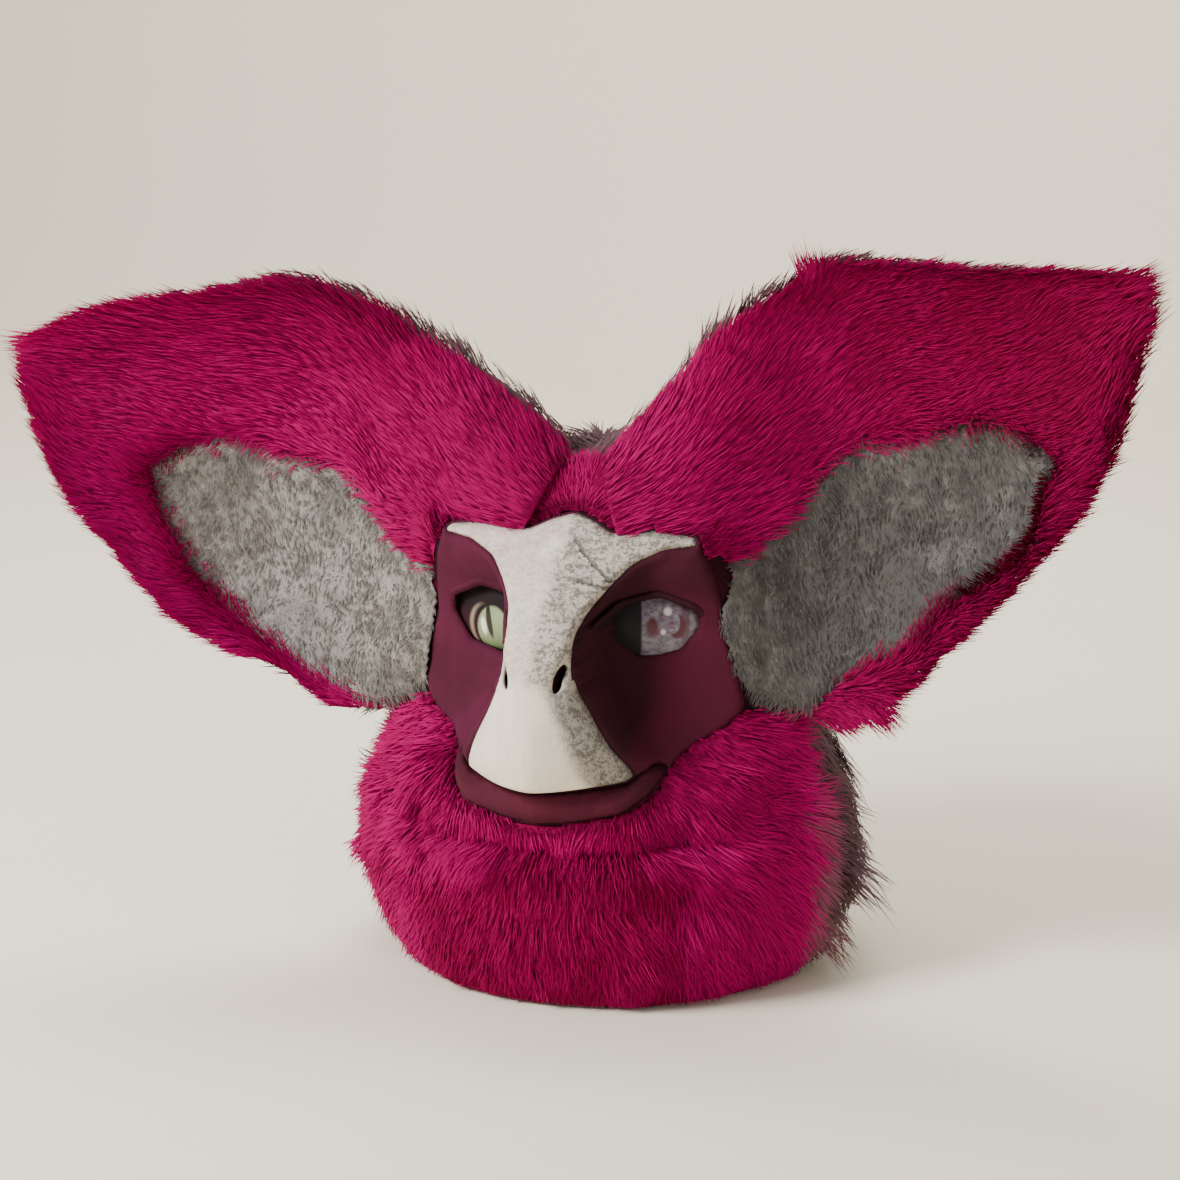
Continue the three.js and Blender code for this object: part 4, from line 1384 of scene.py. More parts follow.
class Patch:
    """A sheet with clean edges, filled in the front view and laid on a surface."""

    def __init__(self, outline: np.ndarray, holes: tuple = (), step: float = 2.0) -> None:
        """Fills the outline with small triangles.

        Args:
            outline: The outer loop.
            holes: The loops that are left open.
            step: The distance between the inner points.
        """
        self.region = Region(outline)
        self.holes = [Region(hole) for hole in holes]
        low, high = outline.min(axis=0), outline.max(axis=0)
        xs = np.arange(low[0], high[0], step)
        zs = np.arange(low[1], high[1], step * 0.866)
        grid = np.array([(x + (k % 2) * step / 2, z) for k, z in enumerate(zs) for x in xs])
        keep = self.region.inside(grid) & (self.region.distance(grid) > 0.6 * step)
        for hole in self.holes:
            keep &= ~hole.inside(grid) & (hole.distance(grid) > 0.6 * step)
        loops = [outline, *holes]
        points = np.concatenate([*loops, grid[keep]])
        edges = []
        start = 0
        for loop in loops:
            count = len(loop)
            edges += [(start + i, start + (i + 1) % count) for i in range(count)]
            start += count
        found = delaunay_2d_cdt([Vector(p) for p in points], edges, [], 0, 1e-5)
        self.places = np.array([tuple(v) for v in found[0]])
        self.triangles = np.array([f for f in found[2] if len(f) == 3])
        centres = self.centres()
        keep = self.region.inside(centres)
        for hole in self.holes:
            keep &= ~hole.inside(centres)
        used, inverse = np.unique(self.triangles[keep], return_inverse=True)
        self.places = self.places[used]
        self.triangles = inverse.reshape(-1, 3)

    def centres(self) -> np.ndarray:
        """Gives the triangles' centres.

        Returns:
            X and Z of each centre.
        """
        return self.places[self.triangles].mean(axis=1)

    def part(self, mask: np.ndarray) -> "Patch":
        """Makes a patch of some of the triangles and the points that they use.

        Args:
            mask: One truth value for each triangle.

        Returns:
            The new patch.
        """
        part = copy.copy(self)
        used, inverse = np.unique(self.triangles[mask], return_inverse=True)
        part.places = self.places[used]
        part.triangles = inverse.reshape(-1, 3)
        return part

    def edge_distance(self) -> np.ndarray:
        """Measures the distance from each point to the nearest edge.

        Returns:
            The distances.
        """
        best = self.region.distance(self.places)
        for hole in self.holes:
            best = np.minimum(best, hole.distance(self.places))
        return best

    def lay(self, low: FrontView, high: FrontView, share: np.ndarray) -> np.ndarray:
        """Lays the patch between two surfaces.

        Args:
            low: The surface at share 0.
            high: The surface at share 1.
            share: Where each point lies between them.

        Returns:
            The points of the sheet.
        """
        below, above = low.meet(self.places), high.meet(self.places)
        y = below + (above - below) * share
        bad = np.isnan(y)
        if bad.any():
            good = np.flatnonzero(~bad)
            for i in np.flatnonzero(bad):
                near = good[np.argmin(np.abs(self.places[good] - self.places[i]).sum(axis=1))]
                y[i] = y[near]
        return np.stack([self.places[:, 0], y, self.places[:, 1]], axis=1)


# Pile


class LockShape(Enum):
    """The forms of a lock: blades, spread, closing at the tip, bend, and the width along a blade."""

    CLUMP = (4, 0.20, 0.55, 0.24, ((0.0, 0.8), (0.35, 1.0), (0.72, 0.62), (1.0, 0.0)))
    FAN = (4, 0.18, 1.25, 0.20, ((0.0, 0.8), (0.35, 1.0), (0.72, 0.62), (1.0, 0.0)))
    WISP = (4, 0.16, 0.85, 0.16, ((0.0, 0.8), (0.35, 1.0), (0.72, 0.62), (1.0, 0.0)))
    SHORT = (5, 0.26, 1.05, 0.10, ((0.0, 0.9), (0.5, 0.9), (1.0, 0.0)))
    FINE = (5, 0.22, 0.85, 0.14, ((0.0, 0.9), (0.5, 0.9), (1.0, 0.0)))

    def build(self, seed: int) -> bpy.types.Object:
        """Makes one lock of length one that grows along Z and faces Y.

        Args:
            seed: The seed of its small differences.

        Returns:
            The lock as an object.
        """
        blades, spread, closing, curl, widths = self.value
        rng = np.random.default_rng(seed)
        points, faces, along = [], [], []
        for k in range(blades):
            angle = 2 * math.pi * (k + rng.uniform(-0.3, 0.3)) / blades
            root = np.array([math.cos(angle), 0.6 * math.sin(angle)]) * spread * rng.uniform(0.6, 1.2)
            length = rng.uniform(0.7, 1.0)
            bend = rng.uniform(0.5, 1.5) * curl
            sway = rng.uniform(-0.10, 0.10)
            turn = rng.uniform(-0.35, 0.35)
            wide = rng.uniform(0.8, 1.2) * 0.022
            first = len(points)
            for t, w in widths:
                pull = 1 - (1 - closing) * t
                middle = np.array([root[0] * pull + sway * t * t, root[1] * pull - bend * t * t, t * length])
                half = wide * w * np.array([math.cos(turn), math.sin(turn), 0])
                row = [middle - half, middle + half] if w else [middle]
                points += row
                along += [t] * len(row)
            for step in range(len(widths) - 2):
                a = first + 2 * step
                faces.append((a, a + 1, a + 3, a + 2))
            last = len(points) - 1
            faces.append((last - 2, last - 1, last))
        mesh = bpy.data.meshes.new(self.name)
        mesh.from_pydata([p.tolist() for p in points], [], faces)
        mesh.shade_smooth()
        write_attribute(mesh, "along", np.array(along))
        return bpy.data.objects.new(self.name, mesh)


class PileTree:
    """The geometry tree that grows locks on a backing, with named inputs."""

    def __init__(self, locks: list[bpy.types.Object]) -> None:
        """Builds the tree.

        Args:
            locks: The lock objects to choose from.
        """
        self.group = bpy.data.node_groups.new("pile", "GeometryNodeTree")
        interface = self.group.interface
        interface.new_socket("Geometry", in_out="INPUT", socket_type="NodeSocketGeometry")
        for name, kind in (("Density", "Float"), ("Blade Width", "Float"), ("Tone Spread", "Float"),
                           ("Turn", "Float"), ("Tilt", "Float"), ("Seed", "Int"), ("Finish", "Material")):
            interface.new_socket(name, in_out="INPUT", socket_type=f"NodeSocket{kind}")
        interface.new_socket("Geometry", in_out="OUTPUT", socket_type="NodeSocketGeometry")
        graph = Graph(self.group)
        start = graph.node("NodeGroupInput")
        given = {s.name: Wire(graph, s) for s in start.outputs if s.name}
        density = self.attribute(graph, "density", "FLOAT") * given["Density"]
        points = graph.add("GeometryNodeDistributePointsOnFaces", None,
                           {"Mesh": given["Geometry"], "Density": density, "Seed": given["Seed"]}, "Points")
        tone = self.attribute(graph, "tone", "FLOAT")
        tone = tone + self.random(graph, given["Seed"] + 1, -1, 1) * given["Tone Spread"]
        points = graph.add("GeometryNodeStoreNamedAttribute", {"data_type": "FLOAT", "domain": "POINT"},
                           {"Geometry": points, "Name": "tone", "Value": tone.at_least(0.02).at_most(0.98)})
        parts = [graph.add("GeometryNodeObjectInfo", None, {"Object": lock, "As Instance": True}, "Geometry")
                 for lock in locks]
        instances = graph.add("GeometryNodeJoinGeometry", None, {"Geometry": parts})
        rotation = graph.add("FunctionNodeAlignRotationToVector", {"axis": "Z"},
                             {"Vector": self.attribute(graph, "comb", "FLOAT_VECTOR")})
        facing = self.attribute(graph, "facing", "FLOAT_VECTOR")
        rotation = graph.add("FunctionNodeAlignRotationToVector", {"axis": "Y", "pivot_axis": "Z"},
                             {"Rotation": rotation, "Vector": facing})
        jitter = graph.add("ShaderNodeCombineXYZ", None, {
            0: self.random(graph, given["Seed"] + 2, -0.8, 0.8) * given["Tilt"],
            1: self.random(graph, given["Seed"] + 3, -1, 1) * given["Tilt"],
            2: self.random(graph, given["Seed"] + 4, -1, 1) * given["Turn"]})
        turn = graph.add("FunctionNodeEulerToRotation", None, {0: jitter})
        rotation = graph.add("FunctionNodeRotateRotation", {"rotation_space": "LOCAL"},
                             {"Rotation": rotation, "Rotate By": turn})
        length = self.attribute(graph, "reach", "FLOAT") * self.random(graph, given["Seed"] + 5, 0.7, 1.15)
        width = given["Blade Width"] * self.random(graph, given["Seed"] + 6, 0.8, 1.25)
        scale = graph.add("ShaderNodeCombineXYZ", None, {0: width, 1: length, 2: length})
        index = graph.add("FunctionNodeRandomValue", {"data_type": "INT"},
                          {"Min": 0, "Max": len(locks) - 1, "Seed": given["Seed"] + 7})
        grown = graph.add("GeometryNodeInstanceOnPoints", None, {
            "Points": points, "Instance": instances, "Pick Instance": True, "Instance Index": index,
            "Rotation": rotation, "Scale": scale})
        real = graph.add("GeometryNodeRealizeInstances", None, {"Geometry": grown})
        uv = graph.add("ShaderNodeCombineXYZ", None, {
            0: self.attribute(graph, "tone", "FLOAT"), 1: self.attribute(graph, "along", "FLOAT")})
        mapped = graph.add("GeometryNodeStoreNamedAttribute", {"data_type": "FLOAT2", "domain": "CORNER"},
                           {"Geometry": real, "Name": UV_MAP, "Value": uv})
        values = {"Geometry": mapped, "Material": given["Finish"]}
        finished = graph.add("GeometryNodeSetMaterial", None, values)
        graph.node("NodeGroupOutput", None, {0: finished})

    @staticmethod
    def attribute(graph: Graph, name: str, kind: str) -> Wire:
        """Reads a named attribute.

        Args:
            graph: The tree's graph.
            name: The attribute's name.
            kind: Its data type.

        Returns:
            Its value.
        """
        return graph.add("GeometryNodeInputNamedAttribute", {"data_type": kind}, {"Name": name}, "Attribute")

    @staticmethod
    def random(graph: Graph, seed: Wire, low: float, high: float) -> Wire:
        """Gives each point a random number.

        Args:
            graph: The tree's graph.
            seed: The seed.
            low: The smallest number.
            high: The largest number.

        Returns:
            The number.
        """
        return graph.add("FunctionNodeRandomValue", {"data_type": "FLOAT"},
                         {"Min": float(low), "Max": float(high), "Seed": seed})

    def grow(self, name: str, backing: bpy.types.Object, values: dict) -> bpy.types.Object:
        """Grows the locks on a backing and makes them a plain mesh.

        Args:
            name: The new piece's name.
            backing: The object that carries the attributes.
            values: The tree's inputs by name.

        Returns:
            The locks as one object.
        """
        modifier = backing.modifiers.new("Pile", "NODES")
        modifier.node_group = self.group
        for item in self.group.interface.items_tree:
            if item.in_out == "INPUT" and item.name in values:
                modifier[item.identifier] = values[item.name]
        bpy.context.view_layer.update()
        graph = bpy.context.evaluated_depsgraph_get()
        mesh = bpy.data.meshes.new_from_object(backing.evaluated_get(graph), depsgraph=graph)
        backing.modifiers.remove(modifier)
        mesh.name = name
        return link(bpy.data.objects.new(name, mesh))


@dataclass(frozen=True)
class Tuft:
    """A place where the pile stands out in longer pointed locks."""

    place: tuple[float, float, float]
    way: tuple[float, float, float]
    gain: float = 0.7
    radius: float = 10.0

    def pull(self, points: np.ndarray, comb: np.ndarray, reach: np.ndarray) -> None:
        """Turns and lengthens the pile round the tuft, in place.

        Args:
            points: The backing's points.
            comb: Their directions.
            reach: Their lengths.
        """
        away = np.linalg.norm(points - self.place, axis=1) / self.radius
        share = np.exp(-away * away)
        comb += share[:, None] * 1.6 * (np.array(self.way) / np.linalg.norm(self.way) - comb)
        reach *= 1 + self.gain * share


@dataclass
class Coat:
    """A coat of pile: where it grows, which way it is combed, and how long and bright it is."""

    name: str
    finish: bpy.types.Material
    locks: int
    blade_width: float = 18.0
    tone_spread: float = 0.10
    turn: float = 0.5
    tilt: float = 0.2
    seed: int = 1

    def grow(self, tree: PileTree, backing: bpy.types.Object, comb: np.ndarray, facing: np.ndarray,
             reach: np.ndarray, tone: np.ndarray, density: np.ndarray, far: np.ndarray | None = None
             ) -> bpy.types.Object:
        """Grows the coat.

        Args:
            tree: The geometry tree.
            backing: The cloth or foam below.
            comb: The way the locks start, for each point.
            facing: The way their flat side faces, for each point.
            reach: Their length in millimetres, for each point.
            tone: Their brightness from 0 to 1, for each point.
            density: Their relative number, for each point.
            far: How far they turn to the third tone, for each point.

        Returns:
            The locks as one object.
        """
        tone = FAR_FROM * np.clip(tone, 0, 1)
        if far is not None:
            tone = tone + (FAR_TONE - tone) * np.clip(far, 0, 1)
        mesh = backing.data
        bare = link(bpy.data.objects.new(self.name + "_bare", mesh.copy()))
        for key, values in (("comb", unit(comb)), ("facing", unit(facing)), ("reach", reach * MM),
                            ("tone", tone), ("density", np.clip(density, 0, None))):
            write_attribute(bare.data, key, values)
        mesh = bare.data
        mesh.calc_loop_triangles()
        total = 0.0
        for triangle in mesh.loop_triangles:
            total += triangle.area * float(np.mean(density[list(triangle.vertices)]))
        values = {"Density": self.locks / max(total, 1e-9), "Blade Width": self.blade_width * MM,
                  "Tone Spread": self.tone_spread, "Turn": self.turn, "Tilt": self.tilt, "Seed": self.seed,
                  "Finish": self.finish}
        locks = tree.grow(self.name, bare, values)
        bpy.data.objects.remove(bare)
        self.clear_floor(locks)
        return locks

    @staticmethod
    def clear_floor(locks: bpy.types.Object) -> None:
        """Lifts the tips that would reach the floor.

        Args:
            locks: The locks.
        """
        count = len(locks.data.vertices)
        points = np.empty(count * 3, np.float32)
        locks.data.vertices.foreach_get("co", points)
        points = points.reshape(-1, 3)
        low = points[:, 2] < FLOOR_EASE
        points[low, 2] = 0.0008 + 0.0022 * np.exp((points[low, 2] - FLOOR_EASE) / 0.006)
        locks.data.vertices.foreach_set("co", points.ravel())
        locks.data.update()


# Pieces


@dataclass
class Palette:
    """The materials of the head."""

    foam: bpy.types.Material
    cream: bpy.types.Material
    skin: bpy.types.Material
    lip: bpy.types.Material
    lid: bpy.types.Material
    plush: bpy.types.Material
    pile: bpy.types.Material
    magenta: bpy.types.Material
    taupe: bpy.types.Material
    eyes: dict

    @classmethod
    def build(cls) -> "Palette":
        """Makes all materials.

        Returns:
            The palette.
        """
        return cls(
            foam=FoamFinish().build(),
            cream=BlazeFinish().build(),
            # The last two colours of the skin and the lid are the painted shade of their right side
            skin=SuedeFinish("maroon_skin", "3f0d21", "5b1a36", "2e0912", "4f1129").build(),
            lip=SuedeFinish("lip_skin", "380d1b", "521629").build(),
            lid=SuedeFinish("lid_skin", "3c0c1f", "561731", "1e050c", "36101d").build(),
            plush=PlushFinish().build(),
            pile=PileFinish("grey_fibre", "5a5550", "4c4845", "87817a", "a8a29b", "8f8983", 0.12).build(),
            magenta=PileFinish("magenta_fur", "44001a", "780030", "b00060", "75555a", "c00c70", 0.2).build(),
            taupe=PileFinish("taupe_fur", "2a1a1e", "4b3036", "73575b", "b3a5a4", "85706f").build(),
            eyes={
                Side.LEFT: EyeFinish("eye_green", Side.LEFT).build(),
                Side.RIGHT: EyeFinish("eye_lilac", Side.RIGHT).build(),
            },
        )


@dataclass
class Foam:
    """The hollow foam shell, open at the neck, with the wells of the eyes and the nostrils."""

    form: HeadForm
    palette: Palette

    def build(self, windows: list[np.ndarray], nostrils: list[np.ndarray]) -> None:
        """Builds and enters the shell.

        Args:
            windows: The outlines of the windows before the eyes.
            nostrils: The outlines of the nostrils.
        """
        s = SIZES
        points = [self.form.points.reshape(-1, 3)]
        faces = [self.opened(windows + nostrils)]
        top = self.form.rows * self.form.columns
        last = top - self.form.columns
        points.append(np.array([[0.0, s.crown_y, s.head_height]]))
        inner = self.inner_grid()
        rows, columns = inner.shape[:2]
        start = top + 1
        pole = start + rows * columns
        points.append(inner.reshape(-1, 3))
        points.append(np.array([[0.0, s.crown_y, s.head_height - 15.0]]))
        triangles = []
        quads = []
        for k in range(columns):
            j = (k + 1) % columns
            triangles.append((last + k, last + j, top))
            triangles.append((pole - columns + j, pole - columns + k, pole))
            quads.append((k, start + k, start + j, j))
            for r in range(rows - 1):
                a = start + r * columns
                quads.append((a + j, a + k, a + columns + k, a + columns + j))
        used = pole + 1
        front = self.form.front(0.0)
        for loop, depth in [(w, s.eye_well) for w in windows] + [(n, s.nostril_well) for n in nostrils]:
            wall, more = self.well(loop, front, depth)
            points.append(wall)
            quads += [tuple(used + i for i in face) for face in more]
            used += len(wall)
        shell = [tuple(f) for f in faces[0]] + quads + triangles
        obj = to_object("head_base_foam", np.concatenate(points), shell, self.palette.foam)
        enter(obj, "foam", "head_base")

    def opened(self, loops: list[np.ndarray]) -> np.ndarray:
        """Leaves out the outer quads that lie before a well.

        Args:
            loops: The outlines of the wells.

        Returns:
            The quads that stay.
        """
        faces = self.form.faces()
        points = self.form.points.reshape(-1, 3)
        hit = np.zeros(len(points), bool)
        for loop in loops:
            hit |= Region(loop).inside(points[:, [0, 2]]) & (points[:, 1] < 0)
        return faces[~hit[faces].any(axis=1)]

    @staticmethod
    def inner_grid() -> np.ndarray:
        """Works out the inside of the shell.

        Returns:
            A grid of points from the neck to the crown.
        """
        s = SIZES
        rings, heights = [], []
        for k, row in enumerate(SECTIONS):
            if k in HOLLOW_ROWS_LEFT_OUT or row[0] * s.head_height > s.head_height - 2.2 * s.shell_wall:
                continue
            side_half, side_y, back, hollow = row[8:12]
            front = -hollow * s.face_reach
            side = side_half * s.head_width / 2 - s.shell_wall
            flank, rear = side_y * s.back_reach, back * s.back_reach - s.shell_wall
            half = np.array([
                [0, front],
                [0.35 * side, front + 3],
                [0.72 * side, front + 0.42 * (flank - front)],
                [side, flank],
                [0.72 * side, flank + 0.8 * (rear - flank)],
                [0, rear],
            ])
            rings.append(closed_curve(np.vstack([half, half[1:-1][::-1] * [-1, 1]]), 12))
            heights.append(row[0] * s.head_height)
        at = np.linspace(0, heights[-1], 46)
        grid = monotone(np.array(heights), np.array(rings), at)
        return np.concatenate([grid, np.broadcast_to(at[:, None, None], grid.shape[:2] + (1,))], axis=2)

    @staticmethod
    def well(loop: np.ndarray, front: "FrontView", depth: float) -> tuple[np.ndarray, list]:
        """Builds the wall of a well.

        Args:
            loop: Its outline.
            front: The foam's outside.
            depth: Its depth.

        Returns:
            Its points and its quads.
        """
        start = front.meet(loop)
        start = np.where(np.isnan(start), np.nanmean(start), start)
        middle = loop.mean(axis=0)
        rows = []
        for t in np.linspace(0, 1, 6):
            place = middle + (loop - middle) * (1 + 0.04 * t)
            rows.append(np.stack([place[:, 0], start + depth * t, place[:, 1]], axis=1))
        count = len(loop)
        turned = np.cross(loop[0] - middle, loop[1] - middle) > 0
        quads = []
        for r in range(5):
            for k in range(count):
                j = (k + 1) % count
                quad = (r * count + k, r * count + j, (r + 1) * count + j, (r + 1) * count + k)
                quads.append(quad[::-1] if turned else quad)
        return np.concatenate(rows), quads


@dataclass
class Face:
    """The smooth pieces of the face: blaze, panels, lip, eyes and lids."""

    form: HeadForm
    palette: Palette

    def build(self) -> None:
        """Builds and enters every piece of the face."""
        s = SIZES
        self.bare = self.form.front(s.seam)
        self.blaze_loop = smooth_loop(full_outline(BLAZE_HALF), 1.5, 1.8)
        self.opening_loop = smooth_loop(full_outline(OPENING_HALF), 2.0, 2.5)
        self.lip_loop = smooth_loop(full_outline(LIP_HALF), 1.5, 1.2)
        self.windows = {side: smooth_loop(self.window_corners(side), 1.2, 1.6) for side in Side}
        nostrils = [self.nostril_loop(side) for side in Side]
        Foam(self.form, self.palette).build(list(self.windows.values()), nostrils)
        self.build_blaze()
        self.build_panels()
        self.build_lip()
        for side in Side:
            self.build_eye(side)
            self.build_lid(side)

    @staticmethod
    def window_corners(side: Side) -> np.ndarray:
        """Gives the corners of the almond window before an eye.

        Args:
            side: Which eye it is.

        Returns:
            The corners in X and Z.
        """
        x, _, z = SIZES.eye_centre
        shares = np.array(WINDOW)
        if side is Side.LEFT:
            shares += LEFT_WINDOW_CHANGE
        return (shares * [SIZES.eye_width, SIZES.eye_height] + [x, z]) * [side.value, 1]

    def nostril_loop(self, side: Side) -> np.ndarray:
        """Gives the outline of a nostril.

        Args:
            side: Which nostril it is.

        Returns:
            The outline in X and Z.
        """
        s = SIZES
        t = np.linspace(0, 2 * math.pi, 28, endpoint=False)
        tilt = math.radians(14)
        a = np.stack([s.nostril_width / 2 * np.cos(t), s.nostril_height / 2 * np.sin(t)], axis=1)
        turned = a @ np.array([[math.cos(tilt), -math.sin(tilt)], [math.sin(tilt), math.cos(tilt)]])
        return (turned + [0.112 * s.head_width / 2, 0.653 * s.head_height]) * [side.value, 1]

    def build_blaze(self) -> None:
        """Builds the cream blaze with its nostrils."""
        s = SIZES
        holes = tuple(self.nostril_loop(side) for side in Side)
        patch = Patch(self.blaze_loop, holes, 1.6)
        outer = patch.region.distance(patch.places)
        rim = np.min([hole.distance(patch.places) for hole in patch.holes], axis=0)
        roll = np.sqrt(smoothstep(0.0, 3.5, outer)) * 0.9 + 0.1
        well = np.exp(-(rim / 3.0) ** 2)
        points = patch.lay(self.bare, self.form.front(s.seam + s.blaze_thickness), roll - 0.55 * well)
        height = smoothstep(0.66, 0.74, points[:, 2] / s.head_height)
        folds = field_noise(points * [1, 1, 1.8], 9.0, 3.0) * (0.25 + 0.75 * height)
        points[:, 1] -= 0.55 * folds * smoothstep(0, 5, outer)
        obj = to_object("nose_blaze_cloth", points, patch.triangles, self.palette.cream)
        enter(obj, "cream_pile", "nose_blaze")
        declare_sheet(obj)
        solidify(obj, 2.0)

    def build_panels(self) -> None:
        """Builds the two maroon panels round the eyes."""
        s = SIZES
        holes = (self.blaze_loop, self.lip_loop, *self.windows.values())
        whole = Patch(self.opening_loop, holes, 2.2)
        top = self.form.front(s.seam + s.panel_thickness)
        for side in Side:
            patch = whole.part(whole.centres()[:, 0] * side.value > 0.15)
            edge = patch.edge_distance()
            points = patch.lay(self.bare, top, 0.2 + 0.8 * np.sqrt(smoothstep(0.0, 2.5, edge)))
            points[:, 1] -= 0.5 * field_noise(points, 26.0, 5.0 * side.value) * smoothstep(0, 8, edge)
            obj = to_object(f"face_panel_{side.word}_suede", points, patch.triangles, self.palette.skin)
            enter(obj, "maroon_skin", f"face_panel_{side.word}")
            declare_sheet(obj)
            solidify(obj, 1.8)

    def build_lip(self) -> None:
        """Builds the padded lower lip."""
        s = SIZES
        patch = Patch(self.lip_loop, (), 1.6)
        share = np.sqrt(np.clip(patch.region.distance(patch.places) / 6.0, 0, 1))
        points = patch.lay(self.bare, self.form.front(s.seam + s.lip_thickness), 0.15 + 0.85 * share)
        points[:, 1] -= 0.4 * field_noise(points * [1.6, 1, 1], 12.0, 8.0)
        obj = to_object("lower_lip_roll", points, patch.triangles, self.palette.lip)
        enter(obj, "lip_skin", "lower_lip")
        solidify(obj, 2.0)

    def build_eye(self, side: Side) -> None:
        """Builds one domed eye.

        Args:
            side: Which eye it is.
        """
        s = SIZES
        rings, segments = 40, 64
        t = np.linspace(0, math.pi, rings + 1)[1:-1]
        p = np.linspace(0, 2 * math.pi, segments, endpoint=False)
        ring = np.stack([np.outer(np.sin(t), np.cos(p)), -np.outer(np.cos(t), np.ones(segments)),
                         np.outer(np.sin(t), np.sin(p))], axis=-1)
        points = np.vstack([ring.reshape(-1, 3), [[0, -1, 0], [0, 1, 0]]])
        faces = []
        for r in range(rings - 2):
            for k in range(segments):
                j = (k + 1) % segments
                a = r * segments
                faces.append((a + k, a + j, a + segments + j, a + segments + k))
        last = (rings - 2) * segments
        pole = (rings - 1) * segments
        faces += [(pole, (k + 1) % segments, k) for k in range(segments)]
        faces += [(pole + 1, last + k, last + (k + 1) % segments) for k in range(segments)]
        points = points * [s.eye_width / 2, s.eye_depth / 2, s.eye_height / 2]
        turn = Matrix.Rotation(math.radians(side.value * s.eye_turn), 3, "Z")
        points = points @ np.array(turn).T + np.array(s.eye_centre) * [side.value, 1, 1]
        obj = to_object(f"eye_{side.word}_dome", points, faces, self.palette.eyes[side])
        face_outwards(obj)
        enter(obj, "eye_green" if side is Side.LEFT else "eye_lilac", f"eye_{side.word}")

    @staticmethod
    def above_lid_line(places: np.ndarray, side: Side) -> np.ndarray:
        """Measures how far places lie above the slanted line where a lid ends.

        Args:
            places: X and Z of each place.
            side: Which eye it is.

        Returns:
            The heights above the line.
        """
        s = SIZES
        x, _, z = s.eye_centre
        along = (places[:, 0] * side.value - x) / (1.3 * s.eye_width)
        return places[:, 1] - z - s.eye_height * (0.02 + 0.15 * (along + 0.22) / 0.58)

    def build_lid(self, side: Side) -> None:
        """Builds the raised rim over one eye.

        Args:
            side: Which eye it is.
        """
        s = SIZES
        inner = self.windows[side]
        middle = inner.mean(axis=0)
        tangent = np.roll(inner, -1, axis=0) - np.roll(inner, 1, axis=0)
        away = unit(np.stack([tangent[:, 1], -tangent[:, 0]], axis=1))
        away *= np.sign(((inner - middle) * away).sum(axis=1))[:, None]
        outer = smooth_loop(inner + away * s.lid_width, 1.2, 2.0)
        patch = Patch(outer, (inner + away * 0.15,), 1.0)
        patch = patch.part(self.above_lid_line(patch.centres(), side) > -1.0)
        above = self.above_lid_line(patch.places, side)
        share = np.sqrt(smoothstep(0, 3.0, patch.edge_distance())) * smoothstep(-1.5, 6.0, above)
        share = share * (0.35 if side is Side.LEFT else 0.85)
        base = self.form.front(2 * s.seam + s.panel_thickness - 0.6)
        points = patch.lay(base, self.form.front(2 * s.seam + s.panel_thickness + s.lid_thickness), share)
        obj = to_object(f"eyelid_{side.word}_rim", points, patch.triangles, self.palette.lid)
        enter(obj, "lid_skin", f"eyelid_{side.word}")
        solidify(obj, 0.8)


def face_outwards(obj: bpy.types.Object) -> None:
    """Merges doubles and turns the faces of a closed mesh outwards.

    Args:
        obj: The piece.
    """
    mesh = bmesh.new()
    mesh.from_mesh(obj.data)
    bmesh.ops.remove_doubles(mesh, verts=mesh.verts, dist=1e-6)
    bmesh.ops.recalc_face_normals(mesh, faces=mesh.faces)
    mesh.to_mesh(obj.data)
    mesh.free()


